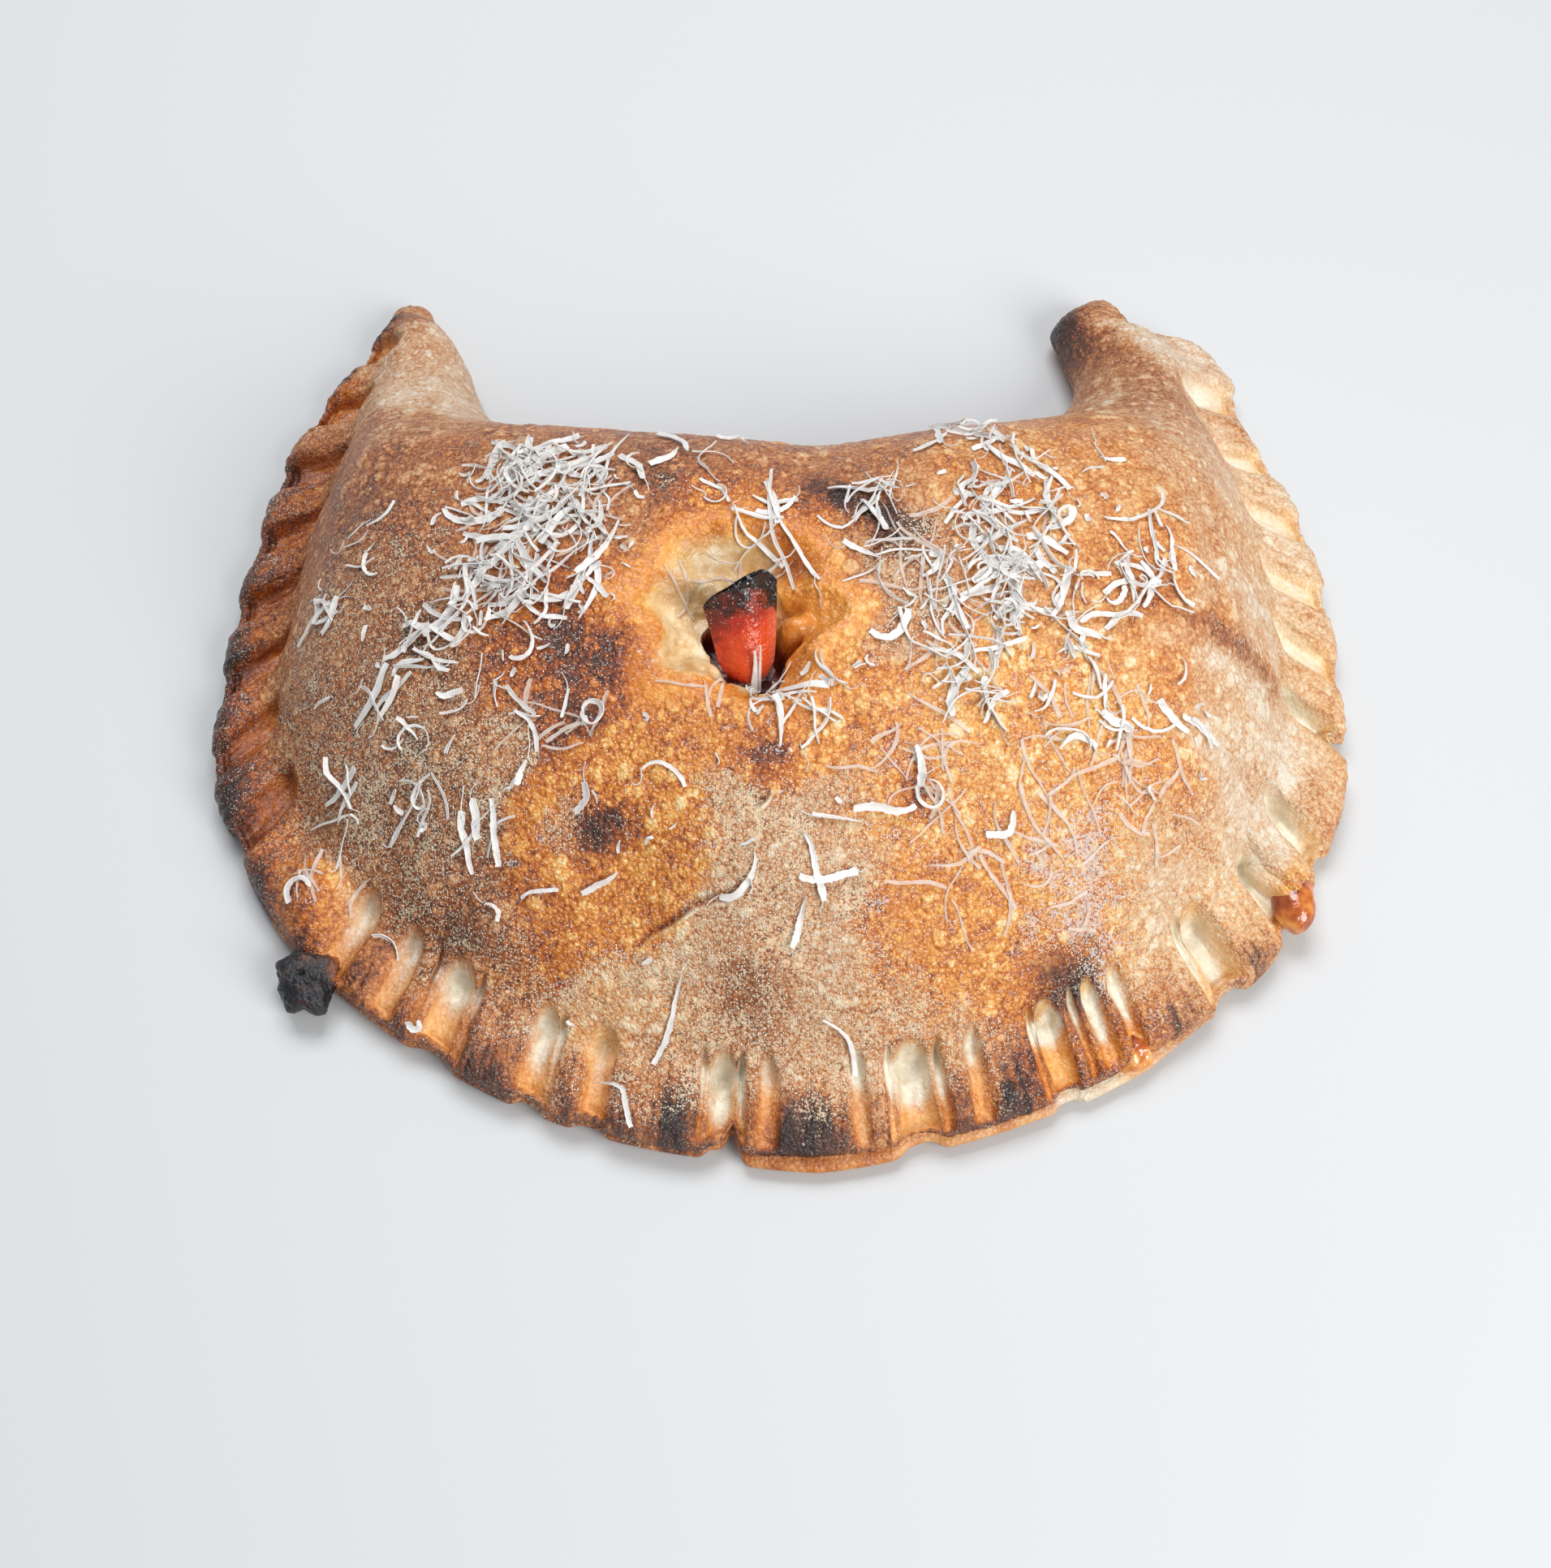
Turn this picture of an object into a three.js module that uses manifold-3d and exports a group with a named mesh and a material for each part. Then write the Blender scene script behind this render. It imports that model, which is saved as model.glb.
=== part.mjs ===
// A baked calzone: pizza dough folded into a half-moon, its round edge crimped shut and its two ends
// drawn out backwards as horns. A steam vent torn in the top holds a curled slice of cured sausage over
// dark sauce, and shreds of hard cheese lie scattered over the crust.
//
// Units are millimetres and +Z is up. The calzone rests on z = 0 with its crimped edge towards -Y.
// A "turn" is the angle in degrees round the crimped edge: 0 at the front, positive to the right.
// A section is the dough's closed outline in the upright plane from the crimped edge to the fold.

import * as THREE from 'three';
import { mergeVertices } from 'three/addons/utils/BufferGeometryUtils.js';
import Module from 'manifold-3d';

// ---------------------------------------------------------------- driving dimensions

// the crimped edge, as a radius about a centre that grows from the front to the sides
const edge = {
  centre: [0.4, 5.8],
  frontRadius: 116,
  sideRadius: 126,
  leftTip: -137,
  rightTip: 143,
  leftReach: 13,
  rightReach: 6,
};

// [turn, half width in degrees, how far the edge swells out]
const swellings = [
  [-133, 4, 1.5], [-117, 11, 3.2], [-76, 8, 3.2], [-60, 13, 3.2], [57, 12, 3.2], [75, 8, 2], [112, 12, 2.5],
  [126, 3.5, 6], [131.3, 3.6, 8],
];

// the fold from horn tip to horn tip, [turn of the section, x, y]
const foldLine = [
  [-137, -91.5, 104.5], [-135.4, -87.2, 101.2], [-132, -82.6, 95.3], [-127, -78.6, 87.3], [-120, -74.1, 75.8],
  [-110, -67.1, 63.3], [-92, -53.1, 53.3], [-45, -28.1, 49.3], [0, -2.1, 46.8], [14, 6.9, 45.8],
  [45, 25.9, 50.3], [92, 48.9, 56.3], [110, 59.9, 63.8], [119, 67.4, 73.3], [126, 70.2, 82.8],
  [133, 67.4, 94.8], [138, 65.9, 103], [143, 72.5, 109],
];

// the crown of each section, [turn, height]
const crowns = [
  [-137, 7], [-131, 15], [-124, 18], [-117, 23], [-108, 31], [-95, 42], [-75, 49], [-40, 54.5], [0, 56],
  [40, 54.5], [75, 50], [95, 43], [108, 34], [118, 27], [126, 22], [132, 18], [138, 15], [143, 9],
];

// finger and fork crimps across the flange, [turn, depth, half width in degrees]
const crimps = [
  [-50, 2.2, 1.6], [-43.5, 2.4, 1.5], [-37, 3.6, 2.2], [-26, 3.2, 1.5], [-19.3, 2.8, 1.6], [-6, 4.2, 1.5],
  [-1.2, 2, 1], [8.5, 1.6, 0.9], [14.4, 4.2, 2], [21.2, 2.2, 1.1], [30, 3, 1.4], [35.4, 2, 1], [38.6, 2, 0.9],
  [49.8, 5, 1.8], [58.9, 4.8, 1.5], [67, 4.6, 1.6], [80.3, 4.5, 1.4],
];
const sideCrimps = { every: 8.7, depth: 3, halfWidth: 2, left: [-67.5, -129], right: [89, 125] };

// splits right through the edge, [turn, depth, half width in degrees]
const splits = [[-4.6, 5, 0.8], [80.5, 3, 1], [136.3, 2.5, 1]];

const flange = {
  width: 17,        // crimped band in front of the dome
  top: 8.5,
  crease: 5,        // height where the upper sheet's edge starts
  round: 3.5,       // rounding of the upper sheet's edge
  fade: 6,          // how far the crimps run up the dome
  crimpSink: 0.85,  // share of a crimp's depth that goes down, not in
  crimpPull: 0.5,   // share that draws the edge in
  edgeFade: 2,      // the very edge stays up
};

// the lower sheet of dough that shows under the front right of the edge
const lowerLip = {
  reach: 2.4,
  plain: 0.6,       // its reach elsewhere
  from: -3,
  to: 41,
  fade: 4,
  top: 3.3,
  bottom: 1.4,
  inset: 0.8,       // share of the reach at the bottom
  seam: 0.9,
};

// the rounded fold at the back: its equator is a share of the crown's height, and it tucks under to the base
const fold = { round: 30, equator: 0.32, tuck: 12 };
const domeEase = 2.5;   // above 1, the dome rises steeply from the flange and flattens towards the crown
const creaseRound = 4;  // rounding of the hollow where the dome leaves the flange
const toe = 7;          // the front edge curls up off the plate over this width

// most that each feature may take of a short section near the horn tips, as a share of its length or crown
const shareOf = { band: 0.33, foldRound: 0.4, edgeRound: 0.15, tuck: 0.3, toe: 0.2, pull: 0.3, flangeTop: 0.7 };

// broad swellings and dips of the dome, and two blisters on the flange, [x, y, radius, height]
const dimples = [
  [-34, -60, 15, -3], [-67, -42, 18, 2], [-5, -62, 14, 2], [28, -46, 15, -1.5], [64, -48, 16, 1.5],
  [-28, 20, 14, 1.5], [7, 27, 12, -2.5], [40, 25, 16, 1], [-98.6, -55, 8, 3], [109.5, -53, 5, 4],
];

// the torn vent: a pale crater, and in it the open pocket, each a stack of rings [height, share of the radius]
const vent = {
  craterCentre: [-10, -13],
  craterRadius: [18, 14],
  craterRings: [[46, 0.5], [48.45, 0.76], [53, 1], [61, 1.25]],
  pocketCentre: [-7, -16.5],
  pocketRadius: [9.6, 9],
  pocketRings: [[34, 0.8], [40, 0.95], [48, 1]],
  ripple: 0.14,
  rippleTurn: 0.7,
  lobes: 5,
};
// rounded ends of torn dough that bulge into the crater
const tornLobes = [
  { at: [-20.4, -22, 44.8], radii: [5.6, 5, 4.8], lump: 0.1 },
  { at: [7, -21.5, 45], radii: [5.2, 5, 4.8], lump: 0.1 },
  { at: [5, -12.5, 46.8], radii: [5, 5.4, 4.8], lump: 0.1 },
];
const sauce = { clearance: 0.5, rings: [[34.4, 0.74], [36.7, 0.86], [39, 0.9]] };

// the curled slice: a tapered half cone that leans back out of the pocket
const sausage = {
  foot: [-7, -21.6, 43],
  length: 21,
  lean: 44,         // degrees up from the horizontal
  twist: 9,         // degrees about the vertical
  footWidth: 8,
  topWidth: 15.5,
  sag: 4.6,         // how far the middle bows towards the front at the top edge
  footSag: 0.5,     // share of the bow at the foot
  thickness: 3.6,
  topWave: { height: 1.2, waves: 2.4, start: 0.6 },
  topSlant: 1.8,    // the right corner of the top edge stands this much higher than the middle
};

// the charred bubble and the drip of melted cheese on the edge, [x, y, z], [radii]
const charBubble = { at: [-98.5, -73, 6.2], radii: [8, 7, 5.6], lump: 0.12 };
const cheeseDrip = { at: [73.2, -86.5, 4.2], radii: [4.2, 4.6, 3.2], lump: 0.08 };

// cheese shreds: heaps as [x, y, reach in x, reach in y, how many]
const heaps = [
  [-52, 6, 17, 22, 14], [46, 2, 17, 26, 16], [3, 12, 9, 10, 3], [72, 4, 8, 12, 3], [9, -31, 14, 9, 4],
  [-78, -22, 16, 26, 6], [26, -58, 34, 20, 3], [-28, -62, 24, 26, 3],
];
const shred = {
  length: [9, 19],
  width: [1.7, 2.6],
  thickness: 1.2,
  sunk: 0.5,
  endLift: 0.9,
  taper: 0.35,      // share of the width lost at the ends
  curl: 110,        // most degrees of bend from end to end
  spans: 3,
  spacing: 5.2,     // least distance between two middles
  ventGap: 19,
  tries: 12,        // random spots looked at for each shred
};

const mesh = {
  fineStep: 1.5,    // degrees between sections where the crimps are
  coarseStep: 3.4,
  fineFrom: -54,
  fineTo: 70,
  tipGap: 1.1,      // degrees from the last section to the tip
  topRows: 14,
  tuckRows: 2,
  bowlSides: 20,
  ballSides: [10, 6],
  sliceSteps: [8, 6],
  same: 1e-4,       // corners closer than this are one
};
const seed = 20471;

const crustColour = 0xc98a4e;
const sausageColour = 0xb23a1e;
const sauceColour = 0x5c160d;

// ---------------------------------------------------------------- small maths

const radians = THREE.MathUtils.degToRad;
const clamp01 = (value) => Math.min(1, Math.max(0, value));

// a smooth curve through [key, value...] rows, with slopes taken from the neighbours
function alongKnots(rows, key) {
  let i = 0;
  while (i < rows.length - 2 && key >= rows[i + 1][0]) i += 1;
  const [from, to] = [rows[i], rows[i + 1]];
  const [before, after] = [rows[Math.max(i - 1, 0)], rows[i + 2] ?? to];
  const span = to[0] - from[0];
  const s = (key - from[0]) / span;
  return from.slice(1).map((_, k) => {
    const column = k + 1;
    const slopeFrom = (to[column] - before[column]) / (to[0] - before[0]);
    const slopeTo = (after[column] - from[column]) / (after[0] - from[0]);
    return (1 + 2 * s) * (1 - s) ** 2 * from[column] + s * (1 - s) ** 2 * span * slopeFrom
      + s * s * (3 - 2 * s) * to[column] + s * s * (s - 1) * span * slopeTo;
  });
}

// a bell of height 1 that falls off over the given width
const bell = (distance, width) => Math.exp(-((distance / width) ** 2));

// repeatable random numbers in [0, 1)
function randomStream(start) {
  let state = start;
  return () => {
    state = (state + 0x6d2b79f5) | 0;
    let mixed = Math.imul(state ^ (state >>> 15), 1 | state);
    mixed = (mixed + Math.imul(mixed ^ (mixed >>> 7), 61 | mixed)) ^ mixed;
    return ((mixed ^ (mixed >>> 14)) >>> 0) / 4294967296;
  };
}

// ---------------------------------------------------------------- the dough's form

function allCrimps() {
  const rows = [...crimps];
  for (const [from, to] of [sideCrimps.left, sideCrimps.right]) {
    const way = Math.sign(to - from);
    for (let turn = from; (to - turn) * way >= 0; turn += way * sideCrimps.every) {
      rows.push([turn, sideCrimps.depth, sideCrimps.halfWidth]);
    }
  }
  return rows;
}
const crimpRows = allCrimps();
const deepest = (rows, turn) => Math.max(...rows.map(([at, depth, width]) => depth * bell(turn - at, width)));
const crimpDepth = (turn) => deepest(crimpRows, turn);

// how far a crimp or a split draws the edge in
const edgePull = (turn) => flange.crimpPull * crimpDepth(turn) + deepest(splits, turn);

function edgePoint(turn) {
  const angle = radians(turn);
  const side = Math.abs(turn);
  const [tip, reach] = turn < 0 ? [-edge.leftTip, edge.leftReach] : [edge.rightTip, edge.rightReach];
  const sideways = Math.sin(radians(Math.min(side, 90))) ** 2;
  let radius = edge.frontRadius + (edge.sideRadius - edge.frontRadius) * sideways;
  radius += reach * Math.max(0, (side - 90) / (tip - 90)) ** 3;
  for (const [at, width, height] of swellings) radius += height * bell(turn - at, width);
  return new THREE.Vector2(
    edge.centre[0] + radius * Math.sin(angle),
    edge.centre[1] - radius * Math.cos(angle),
  );
}

const foldPoint = (turn) => new THREE.Vector2(...alongKnots(foldLine, turn));

// the closed outline of one section, from the upper sheet's edge over the dome and back underneath
function section(turn) {
  const front = edgePoint(turn);
  const back = foldPoint(turn);
  const length = front.distanceTo(back);
  const [crown] = alongKnots(crowns, turn);
  const band = Math.min(flange.width, shareOf.band * length);
  const foldRound = Math.min(fold.round, shareOf.foldRound * length);
  const edgeRound = Math.min(flange.round, shareOf.edgeRound * length);
  const flangeTop = Math.min(flange.top, shareOf.flangeTop * crown);
  const equator = fold.equator * crown;
  const pull = Math.min(edgePull(turn), shareOf.pull * length);
  const points = [];
  const place = (distance, height) => {
    const drawnIn = pull * clamp01(1 - distance / band);
    const at = front.clone().lerp(back, (distance + drawnIn) / length);
    points.push(new THREE.Vector3(at.x, at.y, height));
    return points.at(-1);
  };

  for (let row = 0; row < mesh.topRows; row += 1) {
    const distance = length * (1 - Math.cos((Math.PI * row) / (mesh.topRows - 1))) / 2;
    const beyond = (Math.hypot(distance - band, creaseRound) + distance - band) / 2;
    const rise = 1 - (1 - clamp01(beyond / (length - band - foldRound))) ** domeEase;
    let height = flangeTop + (crown - flangeTop) * rise;
    if (distance < edgeRound) {
      const inward = 1 - distance / edgeRound;
      height = flange.crease + (flangeTop - flange.crease) * Math.sqrt(1 - inward * inward);
    }
    const overFold = clamp01((distance - length + foldRound) / foldRound);
    height = equator + (height - equator) * Math.sqrt(1 - overFold * overFold);
    const inFromEdge = clamp01(distance / flange.edgeFade);
    const upTheDome = clamp01((band + flange.fade - distance) / flange.fade);
    height -= flange.crimpSink * crimpDepth(turn) * inFromEdge * upTheDome;
    const point = place(distance, height);
    const free = clamp01(distance / flange.fade) * Math.sqrt(1 - overFold);
    for (const [x, y, radius, swell] of dimples) {
      point.z += swell * free * bell(Math.hypot(point.x - x, point.y - y), radius);
    }
  }
  const tuck = Math.min(fold.tuck, shareOf.tuck * length);
  for (let row = 1; row <= mesh.tuckRows; row += 1) {
    const under = (Math.PI / 2) * (row / mesh.tuckRows);
    place(length - tuck * (1 - Math.cos(under)), equator * (1 - Math.sin(under)));
  }
  const heel = Math.min(toe, shareOf.toe * length);
  place(heel, 0);
  const { from, to, fade } = lowerLip;
  const shown = clamp01((turn - from) / fade) * clamp01((to - turn) / fade);
  const lip = lowerLip.plain + (lowerLip.reach - lowerLip.plain) * shown;
  place(-lip * lowerLip.inset, lowerLip.bottom);
  place(-lip, lowerLip.top);
  place(lowerLip.seam, (lowerLip.top + flange.crease) / 2);
  return points;
}

function sectionTurns() {
  const turns = [];
  let turn = edge.leftTip + mesh.tipGap;
  while (turn < edge.rightTip - mesh.tipGap) {
    turns.push(turn);
    const fine = turn > mesh.fineFrom && turn < mesh.fineTo;
    turn += fine ? mesh.fineStep : mesh.coarseStep;
  }
  return turns;
}

// ---------------------------------------------------------------- meshes and solids

function geometryFrom(corners, triangles) {
  const geometry = new THREE.BufferGeometry().setFromPoints(corners);
  geometry.setIndex(triangles.flat());
  return geometry;
}

const centreOf = (loop) => loop.reduce((sum, c) => sum.add(c), new THREE.Vector3()).divideScalar(loop.length);

// a closed skin over loops of equal length, with a pole at either end
function loft(loops, firstPole, lastPole) {
  const around = loops[0].length;
  const corners = [...loops.flat(), firstPole, lastPole];
  const triangles = [];
  for (let i = 0; i < around; i += 1) {
    const next = (i + 1) % around;
    triangles.push([corners.length - 2, i, next]);
    for (let k = 0; k < loops.length - 1; k += 1) {
      const [low, high] = [k * around, (k + 1) * around];
      triangles.push([low + i, high + i, high + next], [low + i, high + next, low + next]);
    }
    const last = (loops.length - 1) * around;
    triangles.push([corners.length - 1, last + next, last + i]);
  }
  return geometryFrom(corners, triangles);
}

const wasm = await Module();
wasm.setup();

function solidFrom(geometry) {
  const bare = geometry.clone();
  bare.deleteAttribute('normal');
  bare.deleteAttribute('uv');
  const merged = mergeVertices(bare, mesh.same);
  return new wasm.Manifold(new wasm.Mesh({
    numProp: 3,
    vertProperties: new Float32Array(merged.attributes.position.array),
    triVerts: new Uint32Array(merged.index.array),
  }));
}

function geometryOf(solid) {
  const result = solid.getMesh();
  const geometry = new THREE.BufferGeometry();
  geometry.setAttribute('position', new THREE.Float32BufferAttribute(result.vertProperties, 3));
  geometry.setIndex(new THREE.Uint32BufferAttribute(result.triVerts, 1));
  return geometry;
}

// the largest piece of a solid, without loose scraps and sealed hollows
function largestPiece(solid) {
  const pieces = solid.decompose();
  return pieces.reduce((best, piece) => (piece.volume() > best.volume() ? piece : best));
}

function doughBody() {
  const loops = sectionTurns().map(section);
  const poleAt = (turn) => {
    const tip = edgePoint(turn);
    return new THREE.Vector3(tip.x, tip.y, flange.crease);
  };
  return loft(loops, poleAt(edge.leftTip), poleAt(edge.rightTip));
}

// a stack of rippled rings, [height, share of the radii], closed by a flat floor and lid
function rippledBowl([x, y], radii, rings) {
  const loops = rings.map(([height, share]) => Array.from({ length: mesh.bowlSides }, (_, i) => {
    const angle = (-2 * Math.PI * i) / mesh.bowlSides;
    const ripple = 1 + vent.ripple * Math.sin(vent.lobes * angle + vent.rippleTurn);
    return new THREE.Vector3(
      x + radii[0] * share * ripple * Math.cos(angle),
      y + radii[1] * share * ripple * Math.sin(angle),
      height,
    );
  }));
  const top = loops.at(-1);
  return loft(loops, new THREE.Vector3(x, y, rings[0][0]), new THREE.Vector3(x, y, top[0].z));
}

// a ball with soft lumps, at its place and stretched to its radii
function lumpyBall({ at, radii, lump }) {
  const round = new THREE.SphereGeometry(1, ...mesh.ballSides).deleteAttribute('uv').deleteAttribute('normal');
  const geometry = mergeVertices(round);
  const place = geometry.attributes.position;
  for (let i = 0; i < place.count; i += 1) {
    const point = new THREE.Vector3().fromBufferAttribute(place, i);
    const swell = 1 + lump * Math.sin(5 * point.x + 1) * Math.cos(4 * point.y) * Math.cos(3 * point.z);
    place.setXYZ(i, ...point.multiplyScalar(swell).toArray().map((value, k) => at[k] + radii[k] * value));
  }
  return geometry;
}

// ---------------------------------------------------------------- cheese shreds

// a flat strip along the crust: stations across a bent path, each with four corners
function shredStrip(dropOnto, middle, heading, length, width, bend) {
  const loops = [];
  let along = new THREE.Vector2(...middle);
  const step = length / shred.spans;
  let direction = heading - bend / 2;
  along = along.clone().sub(new THREE.Vector2(Math.cos(heading), Math.sin(heading)).multiplyScalar(length / 2));
  for (let k = 0; k <= shred.spans; k += 1) {
    const ground = dropOnto(along.x, along.y);
    if (!ground) return null;
    const side = new THREE.Vector3(-Math.sin(direction), Math.cos(direction), 0);
    const up = ground.normal;
    side.addScaledVector(up, -side.dot(up)).normalize();
    const end = Math.abs((2 * k) / shred.spans - 1);
    const taper = 1 - shred.taper * end ** 2;
    const lift = shred.endLift * end ** 2;
    const corner = (across, height) => ground.point.clone()
      .addScaledVector(side, across * (width / 2) * taper)
      .addScaledVector(up, height);
    const [low, high] = [lift - shred.sunk, lift + shred.thickness - shred.sunk];
    loops.push([corner(1, low), corner(-1, low), corner(-1, high), corner(1, high)]);
    along = along.clone().add(new THREE.Vector2(Math.cos(direction), Math.sin(direction)).multiplyScalar(step));
    direction += bend / shred.spans;
  }
  return loft(loops, centreOf(loops[0]), centreOf(loops.at(-1)));
}

// shreds over the crust, heap by heap, each in the emptiest of a few random spots
function shredStrips(crustGeometry) {
  const target = new THREE.Mesh(crustGeometry, new THREE.MeshBasicMaterial());
  const ray = new THREE.Raycaster();
  const down = new THREE.Vector3(0, 0, -1);
  const dropOnto = (x, y) => {
    ray.set(new THREE.Vector3(x, y, 200), down);
    const [hit] = ray.intersectObject(target);
    return hit && { point: hit.point, normal: hit.face.normal };
  };
  const random = randomStream(seed);
  const between = ([low, high]) => low + (high - low) * random();
  const middles = [];
  const strips = [];
  for (const [x, y, reachX, reachY, count] of heaps) {
    for (let k = 0; k < count; k += 1) {
      let best = null;
      for (let attempt = 0; attempt < shred.tries; attempt += 1) {
        const angle = 2 * Math.PI * random();
        const out = Math.sqrt(random());
        const spot = [x + reachX * out * Math.cos(angle), y + reachY * out * Math.sin(angle)];
        const room = Math.min(
          ...middles.map((other) => Math.hypot(spot[0] - other[0], spot[1] - other[1])),
          Math.hypot(spot[0] - vent.craterCentre[0], spot[1] - vent.craterCentre[1]) - shred.ventGap,
        );
        if (!best || room > best.room) best = { spot, room };
      }
      const share = 1 - k / count;
      const length = shred.length[0] + (shred.length[1] - shred.length[0]) * share;
      const strip = shredStrip(dropOnto, best.spot, between([0, 2 * Math.PI]), length, between(shred.width),
        radians(between([-shred.curl, shred.curl])));
      if (strip && best.room > shred.spacing) {
        middles.push(best.spot);
        strips.push(strip);
      }
    }
  }
  return strips;
}

// ---------------------------------------------------------------- the pieces

// dough with its bubble and drip, less the crater and the pocket, with the shreds fused on
function crustGeometry() {
  const body = doughBody();
  let solid = solidFrom(body);
  solid = solid.add(solidFrom(lumpyBall(charBubble))).add(solidFrom(lumpyBall(cheeseDrip)));
  solid = solid.subtract(solidFrom(rippledBowl(vent.craterCentre, vent.craterRadius, vent.craterRings)));
  solid = solid.subtract(solidFrom(rippledBowl(vent.pocketCentre, vent.pocketRadius, vent.pocketRings)));
  for (const lobe of tornLobes) solid = solid.add(solidFrom(lumpyBall(lobe)));
  for (const strip of shredStrips(geometryOf(solid))) solid = solid.add(solidFrom(strip));
  return geometryOf(largestPiece(solid));
}

// the pool in the pocket, a little inside its wall
function sauceGeometry() {
  const radii = vent.pocketRadius.map((radius) => radius - sauce.clearance);
  return rippledBowl(vent.pocketCentre, radii, sauce.rings);
}

// cross-sections stacked up the lean, each a bow that widens with the square root of the way up
function sausageGeometry() {
  const [across, along] = mesh.sliceSteps;
  const lean = radians(sausage.lean);
  const outward = new THREE.Vector3(0, -Math.sin(lean), Math.cos(lean));
  const upward = new THREE.Vector3(0, Math.cos(lean), Math.sin(lean));
  const turnAbout = new THREE.Vector3(0, 0, 1);
  const foot = new THREE.Vector3(...sausage.foot);
  const loops = [];
  for (let k = 0; k <= along; k += 1) {
    const share = k / along;
    const half = (sausage.footWidth + (sausage.topWidth - sausage.footWidth) * Math.sqrt(share)) / 2;
    const bow = sausage.sag * (sausage.footSag + (1 - sausage.footSag) * share);
    const face = (depth) => Array.from({ length: across + 1 }, (_, i) => {
      const u = (2 * i) / across - 1;
      const { height, waves, start } = sausage.topWave;
      const wave = height * Math.sin(waves * u + start) + sausage.topSlant * u;
      const up = sausage.length * share + (k === along ? wave : 0);
      return new THREE.Vector3(u * half, 0, 0)
        .addScaledVector(outward, bow * (1 - u * u) - depth)
        .addScaledVector(upward, up)
        .applyAxisAngle(turnAbout, radians(sausage.twist))
        .add(foot);
    });
    loops.push([...face(sausage.thickness), ...face(0).reverse()]);
  }
  return loft(loops, centreOf(loops[0]), centreOf(loops.at(-1)));
}

function piece(name, geometry, color, roughness) {
  const material = new THREE.MeshStandardMaterial({ color, roughness, metalness: 0 });
  const made = new THREE.Mesh(geometry, material);
  made.name = name;
  return made;
}

const calzone = new THREE.Group();
calzone.add(
  piece('crust', crustGeometry(), crustColour, 0.75),
  piece('sauce', sauceGeometry(), sauceColour, 0.35),
  piece('sausage_slice', sausageGeometry(), sausageColour, 0.3),
);

// the origin is the middle of the footprint, on the plate
const extent = new THREE.Box3().setFromObject(calzone);
const middle = extent.getCenter(new THREE.Vector3());
calzone.position.set(-middle.x, -middle.y, -extent.min.z);

export default calzone;
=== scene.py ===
import math
import bpy
import numpy as np
from mathutils import Matrix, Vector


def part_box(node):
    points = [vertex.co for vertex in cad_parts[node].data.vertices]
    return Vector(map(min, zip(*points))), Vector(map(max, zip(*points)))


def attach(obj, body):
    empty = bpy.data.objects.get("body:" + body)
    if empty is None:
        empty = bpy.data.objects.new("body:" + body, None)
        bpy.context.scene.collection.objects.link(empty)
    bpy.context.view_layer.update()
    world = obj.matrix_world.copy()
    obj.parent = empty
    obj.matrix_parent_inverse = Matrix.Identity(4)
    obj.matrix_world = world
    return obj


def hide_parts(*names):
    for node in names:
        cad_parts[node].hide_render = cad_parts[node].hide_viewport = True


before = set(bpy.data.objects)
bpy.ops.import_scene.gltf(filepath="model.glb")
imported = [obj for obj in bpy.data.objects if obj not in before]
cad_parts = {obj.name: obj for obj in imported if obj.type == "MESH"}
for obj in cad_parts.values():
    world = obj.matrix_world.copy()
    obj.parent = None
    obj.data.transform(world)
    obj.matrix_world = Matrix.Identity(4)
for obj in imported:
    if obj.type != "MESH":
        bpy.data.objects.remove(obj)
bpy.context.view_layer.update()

from types import SimpleNamespace

mm = 0.001
latticeShift = 500   # added to noise coordinates, so that the numbers of the cells stay positive

# Shapes are worked out in millimetres: x to the right, y away from the crimped front edge, z up.
# "turn" is the angle in degrees round the crimped edge, 0 at the front and positive to the right.


def clamp01(value):
    return np.clip(value, 0.0, 1.0)


def smooth01(value):
    # 3s^2 - 2s^3 for s held between 0 and 1
    s = clamp01(value)
    return s * s * (3 - 2 * s)


def bell(distance, width):
    # exp(-(distance / width)^2)
    return np.exp(-(distance / width) ** 2)


def squareBell(distance, width):
    # exp(-(distance / width)^4): a flatter top and steeper sides
    return np.exp(-(distance / width) ** 4)


def softMin(a, b, blend):
    # -blend * log(exp(-a / blend) + exp(-b / blend)): the lower of two heights, rounded where they meet
    return -blend * np.logaddexp(-a / blend, -b / blend)


def softMax(a, b, blend):
    return blend * np.logaddexp(a / blend, b / blend)


def towards(value, target, share):
    return value + (target - value) * share


def alongKnots(rows, keys):
    # cubic curve through [key, value...] rows; a knot's slope is that of the line between its neighbours
    rows = np.array(rows, float)
    at, values = rows[:, 0], rows[:, 1:]
    i = np.clip(np.searchsorted(at, keys, side="right") - 1, 0, len(at) - 2)
    before, after = np.maximum(i - 1, 0), np.minimum(i + 2, len(at) - 1)
    span = (at[i + 1] - at[i])[:, None]
    s = (keys - at[i])[:, None] / span
    slopeFrom = (values[i + 1] - values[before]) / (at[i + 1] - at[before])[:, None]
    slopeTo = (values[after] - values[i]) / (at[after] - at[i])[:, None]
    return ((1 + 2 * s) * (1 - s) ** 2 * values[i] + s * (1 - s) ** 2 * span * slopeFrom
            + s * s * (3 - 2 * s) * values[i + 1] + s * s * (s - 1) * span * slopeTo)


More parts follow.
